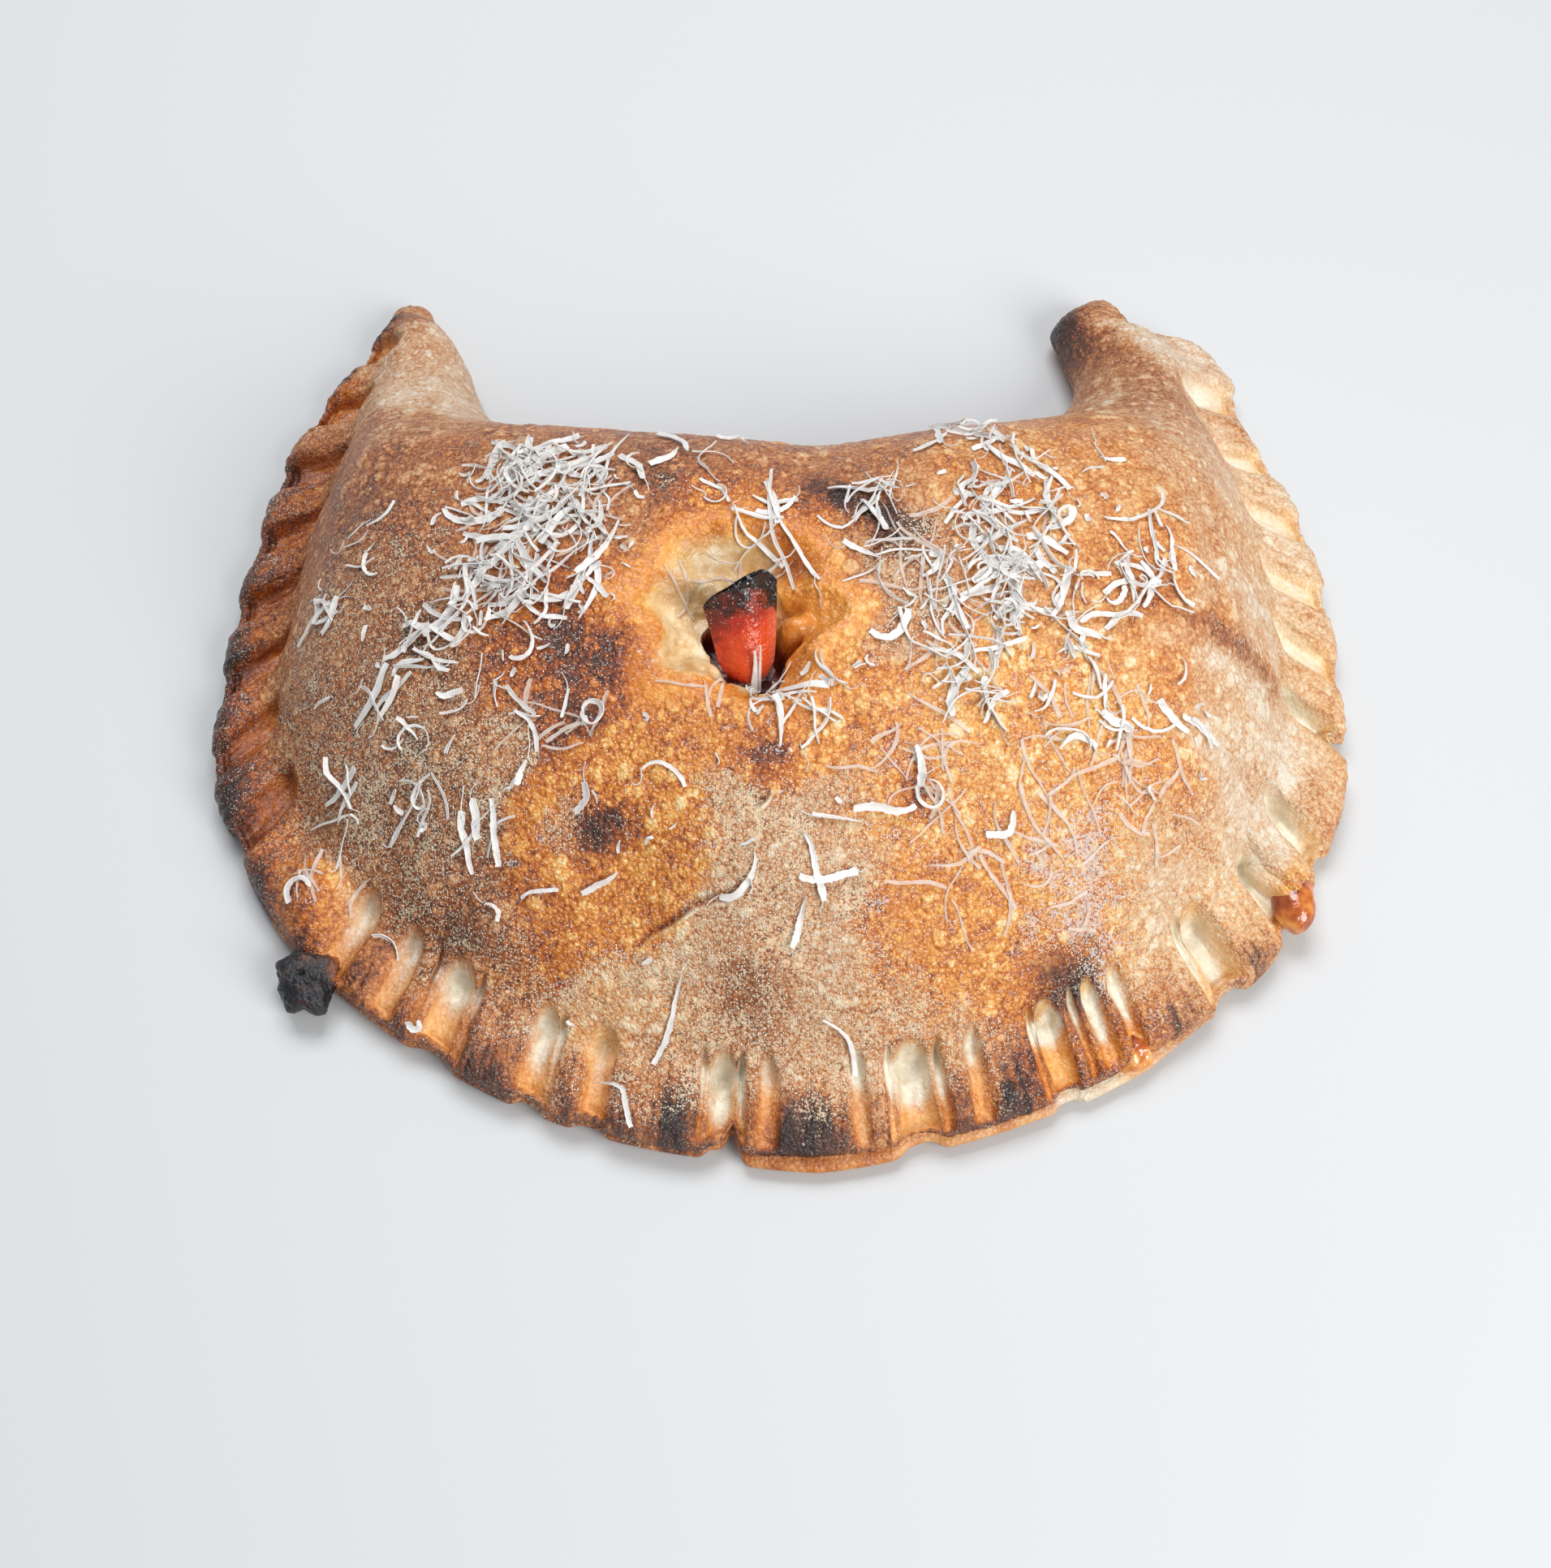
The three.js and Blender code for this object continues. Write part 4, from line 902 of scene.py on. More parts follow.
def crustMaterial():
    # two ramps of toasting, dry and wet, mixed by the oil; char, pale dough, flour with painted sparkle and
    # sheen, and painted glints lie over them
    kit = Nodes("baked crust")
    toastAndShade, oily, flourAndSheenShare, burnt, pale = (kit.field(name) for name in ("toastAndShade", "oil", "flourAndSheen", "burnt", "pale"))
    plain = kit.maths("MAXIMUM", pale, kit.field("smooth"))
    bead, shade = kit.field("bead"), kit.field("shade")
    warped = kit.warped(1.4, 0.8)
    fine, mid, coarse = kit.noise(0.6, roughness=0.65), kit.noise(2.0), kit.noise(6, roughness=0.55)
    pebble, pebbleShade = kit.cells(0.85, warped)
    speck, speckShade = kit.cells(0.5)
    grit = kit.maths("SUBTRACT", 1.0, plain)
    gritShare = kit.maths("ADD", 0.25, kit.times(grit, 0.75))
    top = kit.between(bead, 0.1, 0.6)
    contrast = kit.plus(0.7, (oily, 0.25, 0.0), (flourAndSheenShare, 0.4, 0.0))
    # the level is lower on bead tops and higher in the gaps between pebbles: paler bead tops, and painted
    # shade in the gaps
    spread = kit.plus((top, -0.3, 0.2), (pebble, 0.36, 0.42), (shade, 0.12, 0.5), (pebbleShade, 0.14, 0.5),
                      (fine, 0.4, 0.5), (mid, 0.5, 0.5), (coarse, 0.5, 0.5))
    level = kit.maths("ADD", toastAndShade, kit.times(kit.times(spread, contrast), gritShare), clamped=True)
    dry, wet = kit.ramp(level, crustColours["dry"]), kit.ramp(level, crustColours["wet"])
    colour = kit.mix(kit.between(oily, 0.1, 0.75), dry, wet)
    paleLevel = kit.plus(coarse, (mid, 0.9, 0.5))
    dryPale = kit.ramp(paleLevel, crustColours["dryPale"])
    wetPale = kit.ramp(paleLevel, crustColours["wetPale"])
    paleShare = kit.between(kit.plus(pale, (fine, 0.4, 0.5), (mid, 0.6, 0.5), (coarse, 0.4, 0.5)), 0.15, 0.85)
    colour = kit.mix(paleShare, colour, kit.mix(kit.between(oily, 0.4, 0.75), dryPale, wetPale))
    # char bites through where the noise is high, red-brown first and black inside
    charLevel = kit.plus(burnt, (fine, 0.8, 0.5), (mid, 0.7, 0.5), (top, 0.12, 0.2), clamped=True)
    charShare = kit.times(kit.between(charLevel, 0.06, 0.9), kit.between(burnt, 0.02, 0.25))
    colour = kit.mix(charShare, colour, kit.ramp(charLevel, crustColours["char"]))
    # flour and painted sheen: a broken bright film and brighter grains on the dry crust; the grains are also
    # painted sparkle
    unburntFlourAndSheen = kit.maths("SUBTRACT", flourAndSheenShare, kit.times(burnt, 0.2))
    filmNoise = kit.noise(0.55, 2, 0.7)
    filmLevel = kit.plus(filmNoise, (unburntFlourAndSheen, 0.26, 1.0), (mid, 0.6, 0.5), (coarse, 0.5, 0.5))
    film = kit.between(filmLevel, 0.42, 0.56)
    grainAndSparkle = kit.times(kit.between(speck, 0.46, 0.26), kit.between(speckShade, 0.3, 0.4))
    grainAndSparkle = kit.times(grainAndSparkle, kit.between(unburntFlourAndSheen, 0.05, 0.5))
    # painted highlights: salt-fine glints painted into the colour on the wet places
    glint, glintShade = kit.cells(0.42)
    glint = kit.times(kit.between(glint, 0.36, 0.22), kit.between(glintShade, 0.68, 0.74))
    glint = kit.times(glint, kit.times(kit.between(oily, 0.2, 0.8), grit))
    flour = kit.mix(kit.between(coarse, 0.42, 0.6), crustColours["flour"], crustColours["brightFlour"])
    # on oily places the film takes the colour of a painted sky reflection
    flour = kit.mix(kit.between(oily, 0.5, 0.75), flour, crustColours["paintedSkyReflection"])
    colour = kit.mix(kit.times(film, 0.72), colour, flour)
    colour = kit.mix(kit.times(grainAndSparkle, 0.9), colour, crustColours["grainAndSparkle"])
    colour = kit.mix(kit.times(glint, 0.85), colour, crustColours["glint"])
    roughness = kit.plus(0.38, (oily, -0.18, 0.0), (fine, 0.25, 0.5), (grainAndSparkle, -0.12, 0.0), (burnt, -0.1, 0.0),
                         clamped=True)
    height = kit.times(kit.plus((pebble, -0.7, 0.0), (fine, 0.8, 0.5), (grainAndSparkle, 0.4, 0.0)), gritShare)
    return kit.finish(colour, roughness, kit.bump(height, 0.5, 1.0), Specular_IOR_Level=0.55)


crustFinish = crustMaterial()


def crustPatch(name, firstRow, lastRow):
    # rows firstRow to lastRow of every section, as a strip of the whole grid
    rows = np.arange(firstRow, lastRow + 1) % crustPoints.shape[1]
    faces = [gridFaces(detail["columns"], len(rows))]
    values = {key: field[:, rows] for key, field in fields.items()}
    patch = newPiece(name, crustPoints[:, rows], faces, crustFinish, "baked_crust", values,
                     normals=crustNormals[:, rows])
    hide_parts("crust")


def tipCaps():
    # a fan from each end section to its middle
    vertices, faces, values, start = [], [], {key: [] for key in fields}, 0
    for column in (0, -1):
        ring = crustPoints[column]
        count = len(ring)
        k = np.arange(count)
        fan = np.stack([start + k, start + (k + 1) % count, np.full(count, start + count)], -1)
        faces.append(fan if column == 0 else fan[:, ::-1])
        vertices += [ring, ring.mean(0)[None]]
        for key, field in fields.items():
            values[key] += [field[column], field[column].mean()[None]]
        start += count + 1
    patch = newPiece("crust_tips", np.concatenate(vertices), faces, crustFinish, "baked_crust",
                     {key: np.concatenate(parts) for key, parts in values.items()})
    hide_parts("crust")


rimRows = detail["edge"] + detail["flange"]
domeRows = (detail["dome"] + detail["fold"]) // 3
lipStart = top + detail["tuck"] + detail["base"] - 1
crustPatch("crust_rim", lipStart, crustPoints.shape[1] + rimRows)
crustPatch("crust_front", rimRows, rimRows + domeRows)
crustPatch("crust_crown", rimRows + domeRows, rimRows + 2 * domeRows)
crustPatch("crust_back", rimRows + 2 * domeRows, top - 1)
crustPatch("crust_underside", top - 1, lipStart)
tipCaps()


def lumpyBall(name, middle, radii, lumps, salt, material, even=None):
    # a ball by angle round and angle down, each radius swollen by soft noise, closed at both poles; "even"
    # holds fields that are the same all over
    rows, columns = 48, 80
    down, around = np.meshgrid(np.linspace(np.pi - 0.04, 0.04, rows),
                               np.linspace(0, 2 * np.pi, columns, endpoint=False), indexing="ij")
    unit = np.stack([np.sin(down) * np.cos(around), np.sin(down) * np.sin(around), np.cos(down)], -1)
    swell = 1 + sum(height * softNoise(unit, size, salt + k) for k, (size, height) in enumerate(lumps))
    points = np.array(middle) + unit * np.array(radii) * swell[..., None]
    points[..., 2] = np.maximum(points[..., 2], 0.05)
    vertices, faces = closedTube(points[::-1])
    same = {key: np.full(len(vertices), value) for key, value in (even or {}).items()}
    piece = newPiece(name, vertices + toFrame, faces, material, "baked_crust", same)
    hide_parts("crust")


burntColours = [(0.36, (20, 21, 26)), (0.52, (34, 33, 38)), (0.64, (78, 46, 34)), (0.84, (150, 84, 50))]
amberColours = [(0.34, (126, 44, 16)), (0.46, (186, 92, 30)), (0.56, (222, 148, 66)), (0.68, (240, 200, 140))]


def charMaterial():
    # near black, with brown patches towards the dough on its right
    kit = Nodes("burnt dough")
    patches, fine = kit.noise(3.4), kit.noise(0.7)
    place = kit.node("SeparateXYZ")
    kit.link(kit.place, place.inputs[0])
    rightwards = kit.between(kit.maths("ADD", place.outputs[0], place.outputs[1]), -0.172, -0.158)   # metres
    colour = kit.ramp(kit.plus((patches, 0.7, 0), (fine, 0.35, 0.2), (rightwards, 0.36, 0)), burntColours)
    ridges, _ = kit.cells(1.3, kit.warped(2, 1.2))
    height = kit.plus((ridges, -0.6, 0), (fine, 0.7, 0))
    return kit.finish(colour, kit.between(fine, 0.3, 0.7, 0.2, 0.45), kit.bump(height, 0.5, 0.9))


def amberMaterial():
    # glossy melted cheese and sugar browned on the dough
    kit = Nodes("amber bubble")
    colour = kit.ramp(kit.noise(7, roughness=0.55), amberColours)
    bump = kit.bump(kit.noise(2.4, roughness=0.55), 0.5, 0.6)
    return kit.finish(colour, 0.12, bump, Subsurface_Weight=0.15, Subsurface_Radius=(0.004, 0.002, 0.001),
                      Specular_IOR_Level=1.0)


charBubble = {"middle": (-99, -74, 5.4), "radii": (6.4, 6.8, 5.0), "salt": 11,
              "lumps": [(0.9, 0.26), (0.45, 0.2), (0.2, 0.07), (0.1, 0.03)]}
cheeseDrip = {"middle": (73.2, -86.5, 4.2), "radii": (4.2, 4.6, 3.2), "salt": 21,
              "lumps": [(0.8, 0.2), (0.35, 0.1)]}
amberBubble = {"middle": (110, -52.4, 6.4), "radii": (4.6, 7.0, 4.4), "salt": 31,
               "lumps": [(0.8, 0.12), (0.35, 0.06)]}
hornEnd = {"middle": (-93.7, 102.9, 4.3), "radii": (5.2, 5.7, 4.2), "salt": 41,
           "lumps": [(0.9, 0.1), (0.35, 0.05)],
           "even": {"toastAndShade": 0.42, "oil": 0.12, "flourAndSheen": 0.0, "burnt": 0.14, "pale": 0.0, "smooth": 0.2,
                    "bead": 0.1, "shade": 0.5}}
amberFinish = amberMaterial()
lumpyBall("horn_end", **hornEnd, material=crustFinish)
lumpyBall("char_bubble", **charBubble, material=charMaterial())
lumpyBall("cheese_drip", **cheeseDrip, material=amberFinish)
lumpyBall("amber_bubble", **amberBubble, material=amberFinish)


sauce = {
    "floor": 34.4, "level": 39, "share": 0.95, "rings": 24, "sides": 72,
    "waves": [(3.5, 0.5), (1.4, 0.25)], "creep": 0.5,     # size and height of its waves; rise at the wall
    "colours": [(0.3, (60, 12, 8)), (0.55, (104, 22, 12)), (0.75, (150, 50, 24))],
}


def sauceSurface():
    # the pocket's rippled outline shrunk to the middle in rings; the top waves by soft noise and creeps up
    # the wall as share^6
    angle = np.arange(sauce["sides"]) * 2 * np.pi / sauce["sides"]
    ripple = 1 + vent["ripple"] * np.sin(vent["lobes"] * angle + vent["rippleTurn"])
    share = np.concatenate([[0.02, 0.9, 1.0], np.linspace(1, 0.02, sauce["rings"])])[:, None]
    (middleX, middleY), (reachX, reachY) = vent["pocketCentre"], vent["pocketRadius"]
    x = middleX + reachX * sauce["share"] * share * ripple * np.cos(angle)
    y = middleY + reachY * sauce["share"] * share * ripple * np.sin(angle)
    z = sauce["level"]
    for k, (size, height) in enumerate(sauce["waves"]):
        z = z + height * softNoise(np.stack([x, y, 0 * x], -1), size, 5 + k)
    z = z + sauce["creep"] * share ** 6
    z[:3] = np.array([sauce["floor"], sauce["floor"], sauce["level"] - 1.5])[:, None]   # base and side wall
    vertices, faces = closedTube(np.stack([x, y, z], -1)[::-1])
    return vertices + toFrame, faces


def sauceMaterial():
    kit = Nodes("tomato sauce")
    return kit.finish(kit.ramp(kit.noise(2.2), sauce["colours"]), 0.16, kit.bump(kit.noise(0.8), 0.25, 0.7))


saucePool = newPiece("sauce_pool", *sauceSurface(), sauceMaterial(), "tomato_sauce")
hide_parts("sauce")


sausage = {
    "foot": (-7, -21.6, 43), "length": 21, "lean": 44, "twist": 9, "footWidth": 8, "topWidth": 15.5,
    "footRound": 0.24, "sag": 4.6, "footSag": 0.5, "thickness": 3.6, "topThickness": 2.6,
    "topWave": (1.0, 2.4, 0.6), "topSlant": 1.5, "corner": 2.4,
    "char": {"from": 0.6, "slant": -0.1, "blend": 0.36}, "steps": (72, 108),
    "meat": [(0.1, (240, 124, 66)), (0.3, (226, 82, 28)), (0.5, (204, 54, 18)), (0.72, (148, 34, 18)),
             (1.0, (92, 26, 22))],
    "burnt": [(0.2, (140, 44, 26)), (0.45, (98, 32, 22)), (0.68, (42, 20, 18)), (0.9, (18, 19, 24))],
    "rightEdge": (226, 122, 96), "glint": (246, 232, 226),
}


def sausageSurface():
    # across u and up v: half width grows with sqrt(v), the middle bows out by sag * (1 - u^2), and the top
    # edge waves and slants; the back face is the same shape set in by the thickness
    across, along = sausage["steps"]
    lean, twist = math.radians(sausage["lean"]), math.radians(sausage["twist"])
    v = np.linspace(0, 1, along)[:, None]
    u = np.sin(np.linspace(-1, 1, across) * np.pi / 2)[None, :]
    half = (sausage["footWidth"] + (sausage["topWidth"] - sausage["footWidth"]) * np.sqrt(v)) / 2
    half = half * (0.5 + 0.5 * np.sqrt(1 - clamp01(1 - v / sausage["footRound"]) ** 2))
    bow = sausage["sag"] * (sausage["footSag"] + (1 - sausage["footSag"]) * v)
    outward = np.array([0, -math.sin(lean), math.cos(lean)])
    upward = np.array([0, math.cos(lean), math.sin(lean)])
    height, waves, start = sausage["topWave"]
    topWave = height * np.sin(waves * u + start) + sausage["topSlant"] * u
    topWave = topWave - sausage["corner"] * np.abs(u) ** 6
    up = sausage["length"] * v + topWave * v ** 3
    thick = towards(sausage["thickness"], sausage["topThickness"], v)
    charred = sausage["char"]

    def face(depth, salt):
        out = bow * (1 - u ** 2) - depth * thick * (1 - 0.5 * u ** 4)
        place = np.stack(np.broadcast_arrays(u * half, up, 0 * up), -1)
        crisp = smooth01((v + 0.14 * softNoise(place, 3.2, salt + 2) + 0.06 * softNoise(place, 1.2, salt + 4)
                          - charred["from"] - charred["slant"] * u) / charred["blend"])
        folds = 0.35 * np.sin(4 * u + 0.8) * smooth01(v * 2) + 0.3 * softNoise(place, 5, salt + 5)
        rough = 0.14 * softNoise(place, 1.5, salt) + 0.06 * softNoise(place, 0.7, salt + 6) + folds
        bubbles, _ = beads(place + 20, 2.2, salt + 10)
        lumps = 0.4 * softNoise(place, 2.6, salt + 1) + 1.4 * bubbles + 0.15
        out = out + (1 - 2 * depth) * (rough + crisp * lumps)
        points = (u * half)[..., None] * np.array([1, 0, 0]) + out[..., None] * outward
        points = points + up[..., None] * upward
        x, y = points[..., 0].copy(), points[..., 1].copy()
        points[..., 0] = x * math.cos(twist) - y * math.sin(twist)
        points[..., 1] = x * math.sin(twist) + y * math.cos(twist)
        return points + sausage["foot"], crisp + 0 * u, u + 0 * v, v + 0 * u

    outer, inner = face(0, 51), face(1, 55)
    rings, char, sideways, upShare = (np.concatenate([b, a[:, ::-1]], axis=1) for a, b in zip(outer, inner))
    vertices, faces = closedTube(rings)
    values = {key: np.concatenate([value.ravel(), [value[0].mean(), value[-1].mean()]])
              for key, value in (("char", char), ("sideways", sideways), ("upShare", upShare))}
    return vertices + toFrame, faces, values


def sausageMaterial():
    kit = Nodes("cured sausage")
    char, sideways, upShare = kit.field("char"), kit.field("sideways"), kit.field("upShare")
    patches, fine, spots = kit.noise(3.2), kit.noise(0.6), kit.noise(1.2, 2)
    # bright red in the middle, deeper towards the left, the foot and the charred top; pinker at the right
    # edge, for its paler grain and painted light on that lit edge
    leftward = kit.between(sideways, -0.2, -1.0)
    upper, foot = kit.between(upShare, 0.3, 0.8), kit.between(upShare, 0.0, 0.15)
    level = kit.plus((leftward, 0.4, 0.0), (patches, 0.9, 0.5), (fine, 0.3, 0.5), (upper, 0.5, 0.3),
                     (foot, -0.3, 0.8), 0.36, clamped=True)
    meat = kit.ramp(level, sausage["meat"])
    meat = kit.mix(kit.times(kit.between(sideways, 0.55, 1.0), 0.6), meat, sausage["rightEdge"])
    burntLevel = kit.plus((char, 0.8, 0), (spots, 0.6, 0.5), (fine, 0.4, 0.5), (sideways, 0.16, 0), 0.06)
    burntShare = kit.between(kit.plus(char, (fine, 0.5, 0.5), (spots, 0.5, 0.5)), 0.0, 0.8)
    colour = kit.mix(burntShare, meat, kit.ramp(burntLevel, sausage["burnt"]))
    # painted highlights: light glint dots, more of them towards the top
    glint, glintShade = kit.cells(0.5)
    glint = kit.times(kit.between(glint, 0.36, 0.2), kit.between(glintShade, 0.78, 0.84))
    glint = kit.times(glint, kit.plus((upShare, 0.8, 0.1), clamped=True))
    colour = kit.mix(glint, colour, sausage["glint"])
    wetness = kit.between(kit.plus(char, (spots, 0.5, 0.5)), 0, 1, 0.26, 0.12)
    bump = kit.bump(kit.plus((spots, 1.2, 0), (fine, 0.3, 0)), 0.3, 1.0)
    return kit.finish(colour, wetness, bump, Specular_IOR_Level=0.8, Subsurface_Weight=0.08,
                      Subsurface_Radius=(0.003, 0.0008, 0.0004))


sausageVertices, sausageFaces, sausageFields = sausageSurface()
sausagePiece = newPiece("cured_sausage_slice", sausageVertices, sausageFaces, sausageMaterial(),
                        "cured_sausage", sausageFields)
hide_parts("sausage_slice")


class HeightMap:
    # heights on square cells, read back between their middles
    def __init__(self, points, cell):
        self.cell = cell
        self.low = points[:, :2].min(0) - 2 * cell
        shape = np.ceil((points[:, :2].max(0) - self.low) / cell).astype(int) + 3
        index = np.floor((points[:, :2] - self.low) / cell).astype(int)
        flat = index[:, 0] * shape[1] + index[:, 1]
        count = np.bincount(flat, minlength=shape.prod())
        height = np.bincount(flat, points[:, 2], minlength=shape.prod())
        self.height = np.where(count > 0, height / np.maximum(count, 1), np.nan).reshape(shape)
        for _ in range(3):   # holes take the mean of their neighbours
            around = np.stack([np.roll(self.height, step, axis) for axis in (0, 1) for step in (-1, 1)])
            known = ~np.isnan(around)
            mean = np.where(known, around, 0).sum(0) / np.maximum(known.sum(0), 1)
            self.height = np.where(np.isnan(self.height) & known.any(0), mean, self.height)
        self.height = np.nan_to_num(self.height, nan=0.0)

    def read(self, x, y):
        at = (np.stack([x, y], -1) - self.low) / self.cell - 0.5
        i = np.clip(np.floor(at).astype(int), 0, np.array(self.height.shape) - 2)
        part = clamp01(at - i)
        a, b = i[..., 0], i[..., 1]
        h = self.height
        return ((h[a, b] * (1 - part[..., 0]) + h[a + 1, b] * part[..., 0]) * (1 - part[..., 1])
                + (h[a, b + 1] * (1 - part[..., 0]) + h[a + 1, b + 1] * part[..., 0]) * part[..., 1])

    def raiseTo(self, x, y, z):
        index = np.floor((np.stack([x, y], -1) - self.low) / self.cell).astype(int)
        index = np.clip(index, 0, np.array(self.height.shape) - 1)
        np.maximum.at(self.height, (index[..., 0], index[..., 1]), z)


# Shreds of hard cheese are laid one on another over a height map of the crust.
cheese = {
    "seed": 20471,
    "lengthSpread": (1.4, 2.2), "bend": 45, "curled": 0.16, "curlBend": (80, 230),     # bends in degrees
    # fresh shreds: x, y, reach in x and y, how many, least and most length
    "fresh": [
        [-52, 10, 15, 17, 84, 6, 18], [-50, 25, 17, 8, 28, 8, 20], [-52, -7, 15, 7, 24, 6, 16],
        [47, 15, 11, 14, 50, 6, 18], [36, -8, 13, 13, 44, 6, 17], [55, -6, 11, 12, 22, 6, 15],
        [37, 36, 8, 6, 14, 6, 14], [39, -27, 7, 6, 12, 6, 13], [-3, 6, 5, 9, 8, 9, 18],
        [15, 14, 9, 6, 11, 7, 15], [20, 0, 5, 8, 7, 7, 15], [78, 9, 9, 11, 18, 6, 15],
        [71, -3, 5, 5, 7, 6, 13], [66, 30, 5, 4, 3, 5, 9], [1, -25, 8, 4, 7, 6, 13],
        [2, -33, 9, 4, 9, 6, 15], [-98.5, -3, 3, 5, 6, 6, 13], [-70, -15, 9, 6, 17, 6, 15],
        [-83, -20, 3, 6, 4, 7, 14], [-92.5, -42, 3.5, 6, 7, 6, 14], [-73, -44, 8, 3, 5, 6, 14],
        [-61, -52, 4, 3, 4, 6, 13], [-80, -34, 4, 5, 3, 5, 9], [-56, -30, 14, 9, 8, 5, 12],
        [-88, 12, 5, 8, 4, 6, 10], [62, -25, 9, 9, 9, 6, 13], [-20, 26, 12, 10, 6, 6, 12],
        [86, -20, 8, 8, 4, 5, 11],
    ],
    # melted strips that have sunk in
    "melted": [
        [52, -40, 24, 16, 34, 7, 18], [66, -30, 12, 9, 12, 7, 15], [22, -44, 10, 8, 7, 6, 13],
        [-45, -33, 9, 6, 8, 6, 13], [78, -40, 8, 10, 10, 6, 13], [-17, -29, 6, 3, 4, 6, 12],
        [40, 0, 20, 22, 34, 7, 16], [-52, 8, 17, 18, 30, 7, 16], [-96, -56, 7, 6, 7, 6, 11],
        [44, -62, 20, 9, 14, 6, 15], [-10, -4, 14, 4, 6, 6, 12],
    ],
    # crumbs and short bits
    "crumbs": [
        [-52, 6, 22, 26, 46, 1.5, 4], [46, 4, 24, 30, 52, 1.5, 4], [-74, -24, 18, 28, 16, 1.5, 4],
        [-20, -60, 44, 30, 14, 1.5, 3.5], [74, -10, 20, 34, 14, 1.5, 3.5], [4, -26, 14, 8, 10, 1.5, 4],
    ],
    # single shreds: x, y, heading, length, bend from end to end in degrees
    "single": [
        [-52.5, -18, 60, 11, 200], [-38.4, -32.5, 80, 15, 320], [-23.3, -43.3, 160, 11, 120],
        [-48.9, -62.4, 200, 8, 60], [-58.1, -52, 95, 12, 12], [6.9, -61.1, 110, 12, 25],
        [9.5, -62.5, 10, 12, 30], [-7.5, -63.7, 35, 12, 110], [3.8, -70.6, 80, 9, 20],
        [-22.1, -85.7, 72, 16, 10], [-31.7, -99.9, 112, 13, 8], [13.3, -89.2, 120, 12, 60],
        [29.6, -46.4, 40, 16, 340], [27.6, -42, 90, 8, 30], [20.6, -49.7, 30, 13, 50],
        [11, -52.1, 5, 10, 40], [44.8, -51.4, 20, 9, 30], [-81.8, -66.8, 150, 8, 90],
        [-101.9, -55.9, 200, 10, 230], [-40, -47.3, 50, 6, 40], [-52.7, -42.4, 75, 5, 20],
        [-36.5, -61.6, 30, 8, 30], [-58.4, -64.8, 90, 5, 40], [76.6, -28.1, 10, 11, 60],
        [-11.1, 33.4, 10, 9, 60], [-14.1, 14.7, 60, 9, 260], [-97.9, -19.1, 20, 4, 20],
        [-75, -84.5, 20, 4, 200], [-66, -4, 120, 14, 20], [-38, 2, 60, 15, 20], [22, -15, 20, 12, 100],
        [-1.8, 8, 117, 28, 12], [1, 6, 122, 24, -16],
    ],
    # broad and narrow fresh shreds: least and most width, thickness, most roll and twist in degrees, and what
    # the drawn bend is multiplied by
    "kinds": [(1.0, 2.0, 0.2, 26, 0.6), (0.45, 1.0, 0.18, 55, 1)], "broadShare": 0.42,
    "stations": 9, "curlStations": 22, "curledPast": 150, "stiff": 0.8,
    "fullCurl": 200, "curlRise": 0.6,     # a bend past this lifts the shred over its own start
    "meltedWidth": (0.45, 1.05), "meltedThickness": 0.24, "meltedBend": 0.6, "meltedSink": 0.02,
    "bits": 0.2, "bitRoll": 30, "singleWidth": (0.7, 1.8), "crumbWidth": (0.5, 1.2),
    "strandWidth": (0.16, 0.32), "strandShare": 0.5, "strandLength": (2.5, 7),
    "freshLook": {"light": (255, 254, 252), "dark": (236, 231, 226), "roughness": 0.3, "glow": 0.35,
                  "alpha": 0.8},
    "meltedLook": {"light": (255, 244, 236), "dark": (246, 220, 200), "roughness": 0.16, "glow": 0.2,
                   "alpha": 0.42},
}
cheeseDraw = np.random.default_rng(cheese["seed"])


def drawShreds(clusters):
    # middles spread evenly in each cluster's ellipse, with a random heading, length and bend
    rows = []
    for x, y, reachX, reachY, count, least, most in clusters:
        angle = cheeseDraw.uniform(0, 2 * np.pi, count)
        out = np.sqrt(cheeseDraw.uniform(0, 1.15, count))
        length = least + (most - least) * cheeseDraw.beta(*cheese["lengthSpread"], count)
        bend = cheeseDraw.normal(0, cheese["bend"], count)
        curled = cheeseDraw.random(count) < cheese["curled"]
        bend += curled * cheeseDraw.choice([-1, 1], count) * cheeseDraw.uniform(*cheese["curlBend"], count)
        middleX = x + toFrame[0] + reachX * out * np.cos(angle)
        middleY = y + toFrame[1] + reachY * out * np.sin(angle)
        rows.append(np.stack([middleX, middleY, cheeseDraw.uniform(0, 360, count), length, bend], -1))
    return np.concatenate(rows)


